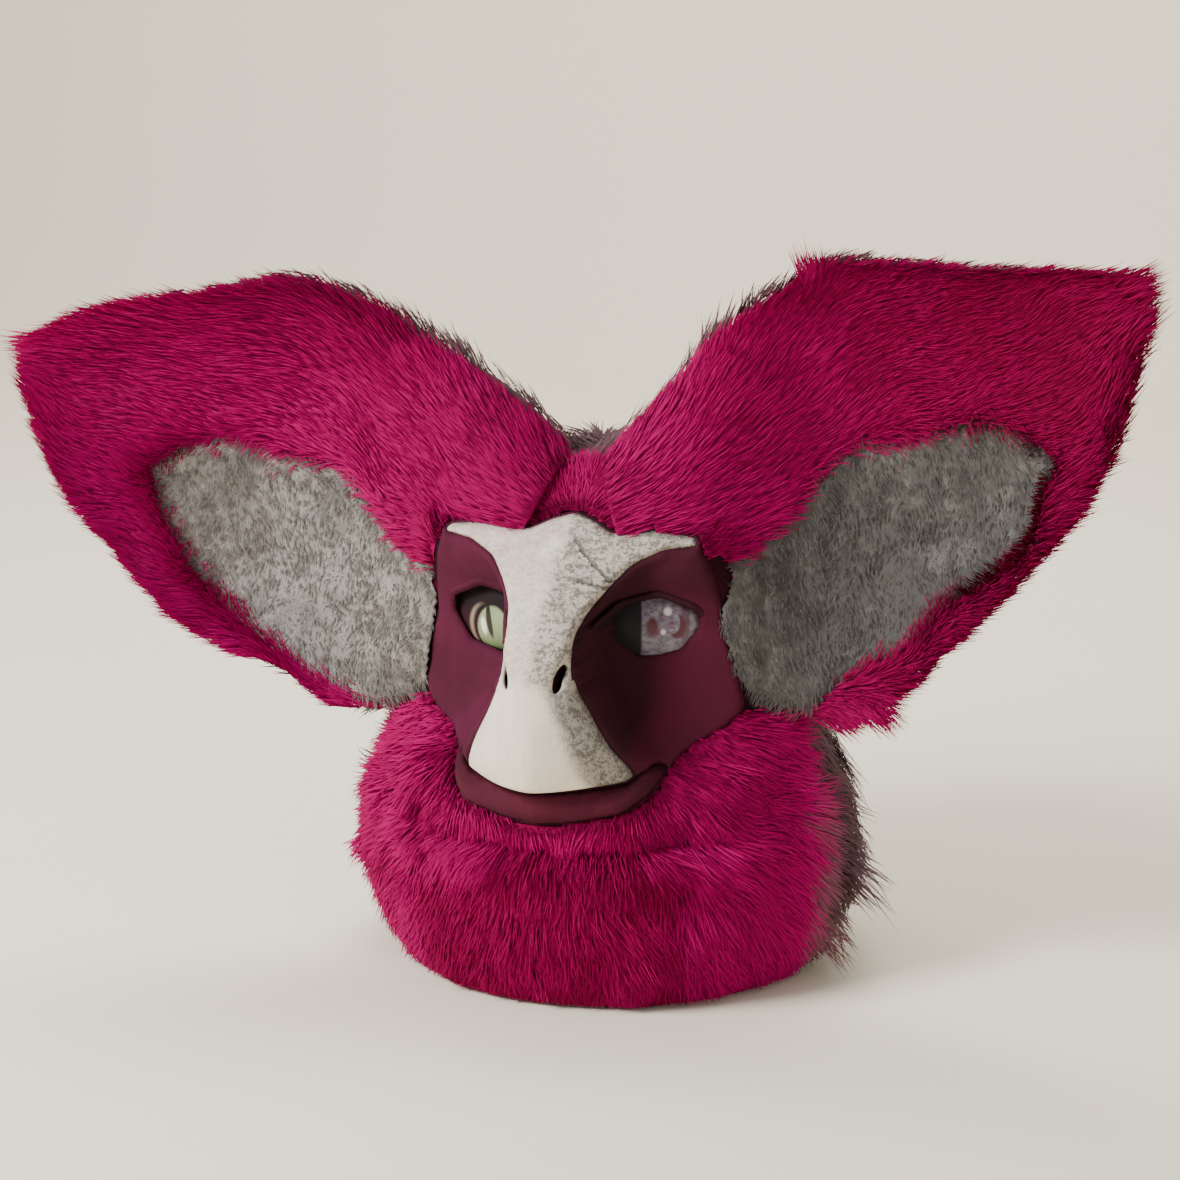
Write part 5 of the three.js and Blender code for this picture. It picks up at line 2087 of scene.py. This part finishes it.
@dataclass
class Ear:
    """One ear: its furred body, its plush liner and the pelt on its back."""

    side: Side
    palette: Palette
    tree: PileTree

    def build(self) -> None:
        """Builds and enters the ear's pieces."""
        self.form = EarForm(self.side)
        root_x, root_z = SIZES.ear_root
        corners = np.array(LINERS[self.side]) * [SIZES.ear_length, SIZES.ear_height] + [root_x, root_z]
        self.liner_loop = smooth_loop(corners * [self.side.value, 1], 2.0, 4.0)
        self.liner = Region(self.liner_loop)
        self.build_body()
        self.build_liner()
        self.build_back()

    def cleared(self, points: np.ndarray, faces: np.ndarray, face: FrontView) -> np.ndarray:
        """Drops the faces at the root that lie inside the head or over the face.

        Args:
            points: The piece's points.
            faces: Its faces.
            face: The head's outside.

        Returns:
            The faces that are kept.
        """
        centres = points[faces].mean(axis=1)
        own = centres[:, 0] * self.side.value > 0.6
        head = face.meet(centres[:, [0, 2]])
        buried = ~np.isnan(head) & (centres[:, 1] > head + 1.0)
        opening = Region(full_outline(OPENING_HALF)).inside(centres[:, [0, 2]])
        return faces[own & ~buried & ~opening]

    def build_body(self) -> None:
        """Builds the ear's foam body and the magenta pile on its front and rim."""
        s, form = SIZES, self.form
        middle = form.middle()
        flat = middle.reshape(-1, 3)
        gap = self.liner.distance(flat[:, [0, 2]])
        gap = np.where(self.liner.inside(flat[:, [0, 2]]), -gap, gap).reshape(middle.shape[:2])
        front = -s.ear_front * smoothstep(-0.5, 6.0, gap) - 0.1
        points, faces = form.layer(front, s.ear_back)
        faces = self.cleared(points, faces, HEAD.front(0.3))
        obj = to_object(f"ear_{self.side.word}_body", points, faces, self.palette.magenta)
        paint_backing(obj, 0.3)
        enter(obj, "magenta_fur", f"ear_{self.side.word}")
        to_tip, outwards, normal = form.directions()
        shape = middle.shape[:2]
        edge = np.abs(2 * form.across - 1)[None, :] ** 3 * np.ones((form.ROWS, 1))
        tip = smoothstep(0.86, 1.0, form.along)[:, None] * np.ones((1, form.COLUMNS))
        rim = np.maximum(edge, tip)
        wander = direction_noise(flat, 26.0, 4.0 + self.side.value).reshape(middle.shape)
        round_edge = edge[..., None]
        comb = to_tip * (1.0 - 0.3 * round_edge) + outwards * (0.10 + 0.42 * round_edge) + wander * 0.28
        x, z = self.liner_loop.mean(axis=0)
        inwards = unit(np.stack([x - middle[..., 0], 0 * gap, z - middle[..., 2]], axis=-1))
        near = np.exp(-(np.maximum(gap, 0) / 5.0) ** 2)[..., None]
        comb = comb * (1 - 0.5 * near) + inwards * 0.5 * near
        ragged = field_noise(flat, 13.0, 9.0).reshape(shape)
        reach = (16.0 + 1.0 * rim + 14.0 * rim * np.clip(ragged - 0.1, 0, 1)) * (1 - 0.3 * near[..., 0])
        cover = np.where(gap > -1.5, 1.0, 0.0)
        back_cover = 0.6 * smoothstep(0.75, 0.95, rim)
        tone = self.tone(flat)
        combs = stacked(comb + normal * 0.17, comb - normal * 0.12)
        facing = stacked(normal, normal * 0.2 + outwards * 0.6)
        reach = stacked(reach, 1.1 * reach)
        for tuft in EAR_TUFTS[self.side]:
            tuft.pull(stacked(middle, middle), combs, reach)
        coat = Coat(f"ear_{self.side.word}_pile", self.palette.magenta, 7800, blade_width=14.0,
                    tone_spread=0.07, turn=0.3, tilt=0.10, seed=21 + self.side.value)
        locks = coat.grow(self.tree, obj, combs, facing, reach, np.concatenate([tone, tone - 0.1]),
                          stacked(cover, back_cover))
        enter(locks, "magenta_fur")

    def tone(self, points: np.ndarray) -> np.ndarray:
        """Gives the pile's brightness over the ear, with painted light on the left ear towards its tip and
        painted shade on the right ear towards its tip.

        Args:
            points: The points.

        Returns:
            The tones from 0 to 1.
        """
        near_tip = smoothstep(60.0, 260.0, np.abs(points[:, 0]))
        # Painted light on the left ear towards its tip, painted shade on the right ear towards its tip
        base = 0.40 + 0.54 * near_tip if self.side is Side.LEFT else 0.52 - 0.54 * near_tip
        broad = 0.24 * field_noise(points, 45.0, 2.0)
        return base + broad + 0.12 * field_noise(points * [1, 1, 1.6], 15.0, 6.0)

    def build_liner(self) -> None:
        """Builds the grey plush liner with its folds."""
        s = SIZES
        patch = Patch(self.liner_loop, (), 2.1)
        points, faces = self.form.layer(-0.3, 0.3)
        view = FrontView(points, faces)
        head = HEAD.front(0.6)
        opening = Region(full_outline(OPENING_HALF))
        centres = patch.centres()
        behind = head.meet(centres)
        here = view.meet(centres)
        own = centres[:, 0] * self.side.value > 1
        patch = patch.part(own & ~opening.inside(centres) & ~(here > behind) & ~np.isnan(here))
        rim = patch.region.distance(patch.places)
        points = patch.lay(view, view, np.zeros(len(patch.places)))
        away = smoothstep(0, 6.0, rim)
        folds = field_noise(points * [1.0, 0.3, 0.55], 11.0, 1.0 + self.side.value)
        lumps = field_noise(points, 24.0, 3.0)
        fine = field_noise(points, 5.0, 7.0)
        points[:, 1] -= 0.4 + 2.4 * away + (1.3 * folds + 1.2 * lumps + 0.45 * fine) * away
        root = np.exp(-((np.abs(points[:, 0]) - 98.0) / 13.0) ** 2) * away
        points[:, 1] -= 1.1 * root * np.sin(points[:, 0] / 2.1 + points[:, 2] / 30.0 + 2.0 * lumps)
        if self.side is Side.RIGHT:
            pit = points[:, [0, 2]] - RIGHT_DIMPLE
            angle = np.arctan2(pit[:, 1], pit[:, 0])
            wide = np.linalg.norm(pit, axis=1)
            points[:, 1] += 2.0 * np.exp(-(wide / 5.0) ** 2)
            points[:, 1] += 0.9 * np.cos(5 * angle) * np.exp(-((wide - 11) / 7.0) ** 2)
        obj = to_object(f"inner_ear_{self.side.word}_plush", points, patch.triangles, self.palette.plush)
        enter(obj, "grey_pile", f"inner_ear_{self.side.word}")
        fibres = self.grow_fibres(obj, points, rim)
        declare_sheet(obj)
        solidify(obj, 1.5)

    def grow_fibres(self, liner: bpy.types.Object, points: np.ndarray, rim: np.ndarray) -> bpy.types.Object:
        """Grows short grey pile on the liner, longer at its border.

        Args:
            liner: The liner.
            points: Its points.
            rim: Their distances from its border.

        Returns:
            The fibres.
        """
        near = np.exp(-(rim / 7.0) ** 2)[:, None]
        centre = self.liner_loop.mean(axis=0)
        outwards = unit(np.stack([points[:, 0] - centre[0], 0 * rim, points[:, 2] - centre[1]], axis=1))
        wander = direction_noise(points, 17.0, 5.0)
        comb = np.array([0.15 * self.side.value, -0.30, -0.75]) + wander * 0.8
        comb = comb * (1 - near) + (outwards + [0, -0.35, 0]) * near
        # The right liner's fibres are darker: painted shade on the ear farther from the light
        base = 0.55 if self.side is Side.LEFT else -0.12
        tone = base + 0.25 * field_noise(points, 22.0, 2.0) + 0.15 * field_noise(points, 8.0, 6.0)
        facing = np.tile([0.0, -1.0, 0.0], (len(points), 1))
        coat = Coat(f"inner_ear_{self.side.word}_pile", self.palette.pile, 2700, blade_width=9.0,
                    tone_spread=0.03, turn=0.6, tilt=0.3, seed=51 + self.side.value)
        locks = coat.grow(self.tree, liner, comb, facing, 4.6 + 3.9 * near[:, 0], tone, np.ones(len(points)))
        enter(locks, "grey_pile")
        return locks

    def build_back(self) -> None:
        """Builds the pelt on the back of the ear."""
        form = self.form
        points, faces = form.layer(*SIZES.ear_pelt, SIZES.ear_back_rise)
        faces = self.cleared(points, faces, HEAD.front(0.3))
        obj = to_object(f"ear_back_{self.side.word}_cloth", points, faces, self.palette.taupe)
        paint_backing(obj, 0.35)
        enter(obj, "taupe_fur", f"ear_back_{self.side.word}")
        to_tip, outwards, normal = form.directions()
        flat = form.middle().reshape(-1, 3)
        shape = normal.shape
        edge = np.abs(2 * form.across - 1)[None, :] ** 4 * np.ones((form.ROWS, 1))
        wander = direction_noise(flat, 26.0, 11.0).reshape(shape)
        upper = smoothstep(0.78, 0.97, form.across) * (1 - smoothstep(0.22, 0.46, form.along))[:, None]
        comb = to_tip * 0.9 + outwards * (0.1 + 0.35 * edge + 0.25 * upper)[..., None] + wander * 0.35
        combs = stacked(comb + normal * 0.1, comb - normal * 0.35)
        facing = stacked(outwards * 0.5 + normal * 0.5, -normal)
        tone = (0.42 + 0.3 * field_noise(flat, 40.0, 5.0)).reshape(shape[:2])
        reach = 15.0 + (7.0 if self.side is Side.LEFT else 8.0) * upper
        far = upper * (0.4 if self.side is Side.RIGHT else 0.15)
        rim = smoothstep(0.80, 0.97, edge) * np.ones(shape[:2])
        density = stacked(0.8 * rim, np.ones(shape[:2]))
        coat = Coat(f"ear_back_{self.side.word}_pile", self.palette.taupe, 2600, blade_width=17.0,
                    seed=31 + self.side.value)
        locks = coat.grow(self.tree, obj, combs, facing, stacked(reach, reach), stacked(tone, tone), density,
                          stacked(far, far))
        enter(locks, "taupe_fur")


def paint_backing(obj: bpy.types.Object, tone: float) -> None:
    """Gives a backing the pile's map, at the roots' end, so that it takes the painted shade of the roots.

    Args:
        obj: The backing.
        tone: Its tone from 0 to 1.
    """
    layer = obj.data.uv_layers.new(name=UV_MAP)
    count = len(obj.data.loops)
    # Along 0.30 lies near the roots, in their painted shade
    layer.data.foreach_set("uv", np.tile([tone, 0.30], count).astype(np.float32))


HEAD_TUFTS = (
    Tuft((-106.0, -40.0, 146.0), (-1.0, -0.3, 0.55), 1.5, 7.0),
    Tuft((-112.0, -38.0, 132.0), (-1.0, -0.3, 0.20), 1.7, 7.0),
    Tuft((-124.0, -28.0, 114.0), (-1.0, -0.2, -0.05), 1.3, 7.0),
    Tuft((-130.0, -14.0, 88.0), (-1.0, -0.1, -0.25), 0.9, 8.0),
    Tuft((-130.0, -8.0, 62.0), (-0.9, -0.1, -0.6), 0.8, 8.0),
    Tuft((128.0, 22.0, 136.0), (1.0, 0.1, 0.55), 1.0, 9.0),
    Tuft((134.0, 20.0, 104.0), (1.0, 0.1, 0.05), 0.8, 8.0),
    Tuft((132.0, 16.0, 70.0), (1.0, 0.0, -0.5), 0.9, 8.0),
    Tuft((126.0, 6.0, 40.0), (0.8, 0.0, -0.8), 0.9, 8.0),
    Tuft((88.0, -58.0, 22.0), (0.3, -0.5, -0.9), 0.9, 8.0),
)
EAR_TUFTS = {
    Side.LEFT: (
        Tuft((-283.0, -62.0, 378.0), (-0.35, -0.1, 1.0), 0.8, 6.0),
        Tuft((-222.0, -48.0, 376.0), (0.35, 0.0, 1.0), 0.7, 6.0),
        Tuft((-196.0, -40.0, 378.0), (0.45, 0.0, 1.0), 0.8, 6.0),
        Tuft((-200.0, -36.0, 190.0), (-1.0, -0.1, -0.35), 0.8, 8.0),
        Tuft((-136.0, -18.0, 152.0), (-0.9, -0.2, -0.4), 0.8, 7.0),
    ),
    Side.RIGHT: (
        Tuft((128.0, -24.0, 386.0), (-0.6, 0.0, 0.8), 0.25, 6.0),
        Tuft((160.0, -32.0, 390.0), (-0.3, 0.0, 1.0), 0.15, 6.0),
        Tuft((268.0, -56.0, 280.0), (0.8, -0.1, -0.5), 0.5, 8.0),
        Tuft((160.0, -18.0, 166.0), (0.6, -0.2, -0.7), 0.4, 8.0),
    ),
}


class Pelt(Enum):
    """The pelts on the head: locks, length, tone and whether the cloth is taupe."""

    CHIN_ROLL = (2800, 18.0, 0.28, False)
    THROAT_BIB = (3500, 24.0, 0.02, False)
    CHEEK_RUFF_LEFT = (3800, 27.0, 0.58, False)
    CHEEK_RUFF_RIGHT = (4000, 27.0, 0.55, False)
    FOREHEAD_PELT = (1800, 17.0, 0.40, False)
    BACK_PELT = (3900, 28.0, 0.45, True)

    @property
    def node(self) -> str:
        """Gives the name of the solid that it stands for.

        Returns:
            The name in small letters.
        """
        return self.name.lower()

    def holds(self, points: np.ndarray) -> np.ndarray:
        """Tells which points of the head it covers.

        Args:
            points: The points.

        Returns:
            A mask.
        """
        s = SIZES
        x, y, z = points.T
        front = y < s.side_seam_y - 9.0 * smoothstep(0.80 * s.head_height, 0.90 * s.head_height, z)
        middle = np.abs(x) < s.chin_half
        crease = np.interp(x / s.chin_half, [c[0] for c in CREASE], [c[1] * s.head_height for c in CREASE])
        if self is Pelt.CHIN_ROLL:
            return front & middle & (z > crease) & (z < 0.51 * s.head_height)
        if self is Pelt.THROAT_BIB:
            return front & middle & (z <= crease) & (z > 1.5)
        if self is Pelt.FOREHEAD_PELT:
            return front & (z > 0.85 * s.head_height)
        if self is Pelt.BACK_PELT:
            return ~front & (z > 1.5)
        sign = -1 if self is Pelt.CHEEK_RUFF_LEFT else 1
        return front & (x * sign >= s.chin_half) & (z < 0.535 * s.head_height) & (z > 1.5)

    def flow(self, points: np.ndarray) -> np.ndarray:
        """Gives the way the pile lies.

        Args:
            points: The points.

        Returns:
            One direction for each point.
        """
        s = SIZES
        x, y, z = points.T
        sign = np.sign(x)
        if self is Pelt.FOREHEAD_PELT:
            return np.stack([0.9 * sign * smoothstep(0, 25, np.abs(x)), 0 * x + 0.4, 0 * x + 0.9], axis=1)
        if self is Pelt.BACK_PELT:
            side = smoothstep(0.0, 70.0, 75.0 - y)
            return np.stack([0.3 * sign * side, 0.25 + 0.55 * side, -1.0 + 0.35 * side], axis=1)
        side = smoothstep(35.0, 115.0, np.abs(x))
        rise = smoothstep(20.0, 150.0, z)
        across = 0.4 * np.minimum(np.abs(x) / s.chin_half, 1.0) * (1 - side) + side * (0.45 + 0.5 * rise)
        return np.stack([sign * across, -0.1 + 0.45 * side, -1.0 + 1.1 * rise * side], axis=1)


@dataclass
class Coats:
    """The long pile on the head, one piece for each pelt."""

    form: HeadForm
    palette: Palette
    tree: PileTree
    ears: list[Ear]

    def build(self) -> None:
        """Builds and enters every pelt."""
        faces = self.form.faces()
        bare = self.form.grown(0.0)
        centres = bare[faces].mean(axis=1)
        self.opening = Region(full_outline(OPENING_HALF))
        free = ~(self.opening.inside(centres[:, [0, 2]]) & (centres[:, 1] < SIZES.side_seam_y))
        for ear in self.ears:
            free &= ~self.under_ear(centres, ear)
        for pelt in Pelt:
            self.build_pelt(pelt, faces[free & pelt.holds(centres)])

    @staticmethod
    def under_ear(centres: np.ndarray, ear: Ear) -> np.ndarray:
        """Tells which places lie inside an ear.

        Args:
            centres: The places.
            ear: The ear.

        Returns:
            A mask.
        """
        points, faces = ear.form.layer(-7.0, 16.0)
        view = FrontView(points, faces)
        front = view.meet(centres[:, [0, 2]])
        back = view.meet(centres[:, [0, 2]], from_back=True)
        return (centres[:, 1] > front) & (centres[:, 1] < back)

    def build_pelt(self, pelt: Pelt, faces: np.ndarray) -> None:
        """Builds one pelt: its cloth and its pile.

        Args:
            pelt: Which pelt it is.
            faces: The quads of the head that it covers.
        """
        locks_wanted, length, tone, is_taupe = pelt.value
        used, inverse = np.unique(faces, return_inverse=True)
        faces = inverse.reshape(-1, 4)
        edges = np.sort(np.concatenate([faces[:, [k, (k + 1) % 4]] for k in range(4)]), axis=1)
        pairs, counts = np.unique(edges, axis=0, return_counts=True)
        border = np.zeros(len(used), bool)
        border[pairs[counts == 1].ravel()] = True
        share = np.where(border, 0.04, 0.34)
        normals = self.form.normals.reshape(-1, 3)[used]
        fur = self.form.fur.reshape(-1)[used]
        bare = self.form.points.reshape(-1, 3)[used]
        points = bare + normals * (0.6 + share * fur)[:, None]
        points[:, 2] = np.maximum(points[:, 2], 1.6)
        material = self.palette.taupe if is_taupe else self.palette.magenta
        slot = "taupe_fur" if is_taupe else "magenta_fur"
        cloth = to_object(f"{pelt.node}_cloth", points, faces, material)
        paint_backing(cloth, tone * 0.6)
        enter(cloth, slot, pelt.node)
        flow = pelt.flow(bare) + direction_noise(bare, 24.0, 3.0) * 0.6
        away = self.opening.distance(bare[:, [0, 2]])
        close = np.exp(-(away / 8.0) ** 2)[:, None] * (bare[:, 1:2] < 0)
        outer = smoothstep(48.0, 72.0, np.abs(bare[:, :1]))
        near = close * 0.4 * (1 - outer)
        inwards = unit(np.stack([-bare[:, 0], 0 * away, 160.0 - bare[:, 2]], axis=1))
        flow = flow * (1 - near) + inwards * near
        if pelt in (Pelt.CHEEK_RUFF_LEFT, Pelt.CHEEK_RUFF_RIGHT):
            flow = flow - inwards * close * outer * 0.9
            near = close * (0.55 + 0.6 * outer)
        flow = unit(flow - normals * (flow * normals).sum(axis=1, keepdims=True))
        lift = 0.36 + 0.16 * field_noise(bare, 12.0, 2.0)
        comb = flow + normals * lift[:, None]
        waves = field_noise(bare, 16.0, 8.0)
        hem = 0.55 + 0.45 * smoothstep(4.0, 45.0, bare[:, 2])
        reach = length * (1.0 + 0.3 * waves) * (1 - 0.6 * near[:, 0]) * hem
        crease = np.interp(bare[:, 0] / SIZES.chin_half, *np.array(CREASE).T) * SIZES.head_height
        if pelt is Pelt.CHIN_ROLL:
            reach = reach * (1 + 0.5 * np.exp(-((bare[:, 2] - crease) / 8.0) ** 2))
        for tuft in HEAD_TUFTS:
            tuft.pull(bare, comb, reach)
        tones = tone + 0.34 * field_noise(bare, 30.0, 1.0)
        tones = tones + 0.24 * field_noise(bare * [1.5, 1, 0.8], 11.0, 4.0)
        # Lighter just above the chin's crease and darker just below it: painted light on the roll and
        # painted shade in the crease
        crease_light_and_shade = np.sin(np.clip((bare[:, 2] - crease) / 14.0, -1, 1) * math.pi)
        tones = tones + 0.35 * crease_light_and_shade * (bare[:, 1] < -50)
        far = None
        if pelt is Pelt.CHEEK_RUFF_RIGHT:
            towards = 0.951 * bare[:, 0] + 0.309 * bare[:, 1]
            far = smoothstep(93.0, 119.0, towards + 6.0 * field_noise(bare, 14.0, 3.0))
        coat = Coat(f"{pelt.node}_pile", material, locks_wanted, blade_width=22.0 if length > 20 else 16.0,
                    seed=40 + locks_wanted % 37)
        locks = coat.grow(self.tree, cloth, comb, normals, reach, tones, np.ones(len(used)), far)
        enter(locks, slot)
        declare_sheet(cloth)


@dataclass
class Studio:
    """The camera, the lights and the pale paper."""

    # Azimuth and elevation in degrees, distance and width in metres, power in watts
    LIGHTS = {
        "key": (-42, 34, 2.0, 0.8, 60.0),
        "fill": (40, 14, 2.8, 1.8, 10.0),
        "top": (170, 60, 2.0, 1.4, 14.0),
    }
    CAMERA_AZIMUTH, CAMERA_ELEVATION, CAMERA_DISTANCE = 18, 12, 1.5
    # The width of the picture at the head, in metres
    PICTURE_WIDTH = 1180 * 0.00055

    def build(self) -> None:
        """Builds everything round the head."""
        self.place_camera()
        self.place_paper()
        self.place_lights()

    @staticmethod
    def target() -> Vector:
        """Gives the point that the camera looks at.

        Returns:
            The point in metres.
        """
        return Vector((np.array([0.0, 0.0, 214.5]) + SHIFT) * MM)

    @staticmethod
    def direction(azimuth: float, elevation: float) -> Vector:
        """Turns two angles into a direction away from the head.

        Args:
            azimuth: The angle round the head in degrees, from the front to the right.
            elevation: The angle above the floor in degrees.

        Returns:
            The direction.
        """
        a, e = math.radians(azimuth), math.radians(elevation)
        return Vector((math.sin(a) * math.cos(e), -math.cos(a) * math.cos(e), math.sin(e)))

    def place_camera(self) -> None:
        """Places the camera as the photograph was taken."""
        back = self.direction(self.CAMERA_AZIMUTH, self.CAMERA_ELEVATION)
        camera = bpy.data.cameras.new("camera")
        camera.sensor_width = 36.0
        camera.lens = 36.0 * self.CAMERA_DISTANCE / self.PICTURE_WIDTH
        camera.clip_end = 20.0
        camera.dof.use_dof = False
        obj = link(bpy.data.objects.new("camera", camera))
        obj.location = self.target() + back * self.CAMERA_DISTANCE
        obj.rotation_euler = back.to_track_quat("Z", "Y").to_euler()
        bpy.context.scene.camera = obj

    @staticmethod
    def place_paper() -> None:
        """Places the floor and the backdrop as one swept sheet."""
        flat, radius, top = 2.2, 0.7, 4.2
        profile = [(-3.4, 0.0), (flat, 0.0)]
        for angle in np.linspace(0.1, math.pi / 2, 14):
            profile.append((flat + radius * math.sin(angle), radius * (1 - math.cos(angle))))
        profile.append((flat + radius, top))
        points = [(x, y, z) for y, z in profile for x in (-6.0, 6.0)]
        faces = [(2 * i, 2 * i + 1, 2 * i + 3, 2 * i + 2) for i in range(len(profile) - 1)]
        mesh = bpy.data.meshes.new("backdrop")
        mesh.from_pydata(points, [], faces)
        mesh.shade_smooth()
        mesh.materials.append(PaperFinish().build())
        link(bpy.data.objects.new("backdrop", mesh))

    def place_lights(self) -> None:
        """Places a soft key from the upper left, a weak fill and the sky."""
        target = self.target()
        for name, (azimuth, elevation, distance, size, power) in self.LIGHTS.items():
            place = target + self.direction(azimuth, elevation) * distance
            self.place_light(name, place, target, size, power)
        self.place_light("wall", Vector((-0.6, 0.9, 2.5)), Vector((-0.2, 2.9, 0.4)), 1.6, 55.0)
        world = bpy.data.worlds.new("sky")
        world.use_nodes = True
        ground = world.node_tree.nodes["Background"]
        ground.inputs[0].default_value = (0.95, 0.97, 1.0, 1.0)
        ground.inputs[1].default_value = 0.46
        bpy.context.scene.world = world

    @staticmethod
    def place_light(name: str, place: Vector, aim: Vector, size: float, power: float) -> None:
        """Places one round soft light.

        Args:
            name: Its name.
            place: Where it stands.
            aim: What it points at.
            size: Its width in metres.
            power: Its power in watts.
        """
        light = bpy.data.lights.new(name, "AREA")
        light.shape = "DISK"
        light.size = size
        light.energy = power
        obj = link(bpy.data.objects.new(name, light))
        obj.location = place
        obj.rotation_euler = (place - aim).to_track_quat("Z", "Y").to_euler()


HEAD = HeadForm()


def main() -> None:
    """Builds the head's pieces in order."""
    logging.basicConfig(level=logging.INFO, format="%(name)s %(message)s")
    noise.seed_set(NOISE_SEED)
    Studio().build()
    palette = Palette.build()
    locks = {shape: shape.build(seed) for seed, shape in enumerate(LockShape)}
    long_pile = PileTree([locks[shape] for shape in (LockShape.CLUMP, LockShape.FAN, LockShape.WISP)])
    short_pile = PileTree([locks[shape] for shape in (LockShape.SHORT, LockShape.FINE)])
    Face(HEAD, palette).build()
    ears = [Ear(side, palette, short_pile) for side in Side]
    for ear in ears:
        ear.build()
    Coats(HEAD, palette, long_pile, ears).build()
    for lock in locks.values():
        bpy.data.objects.remove(lock)


if __name__ == "__main__":
    main()
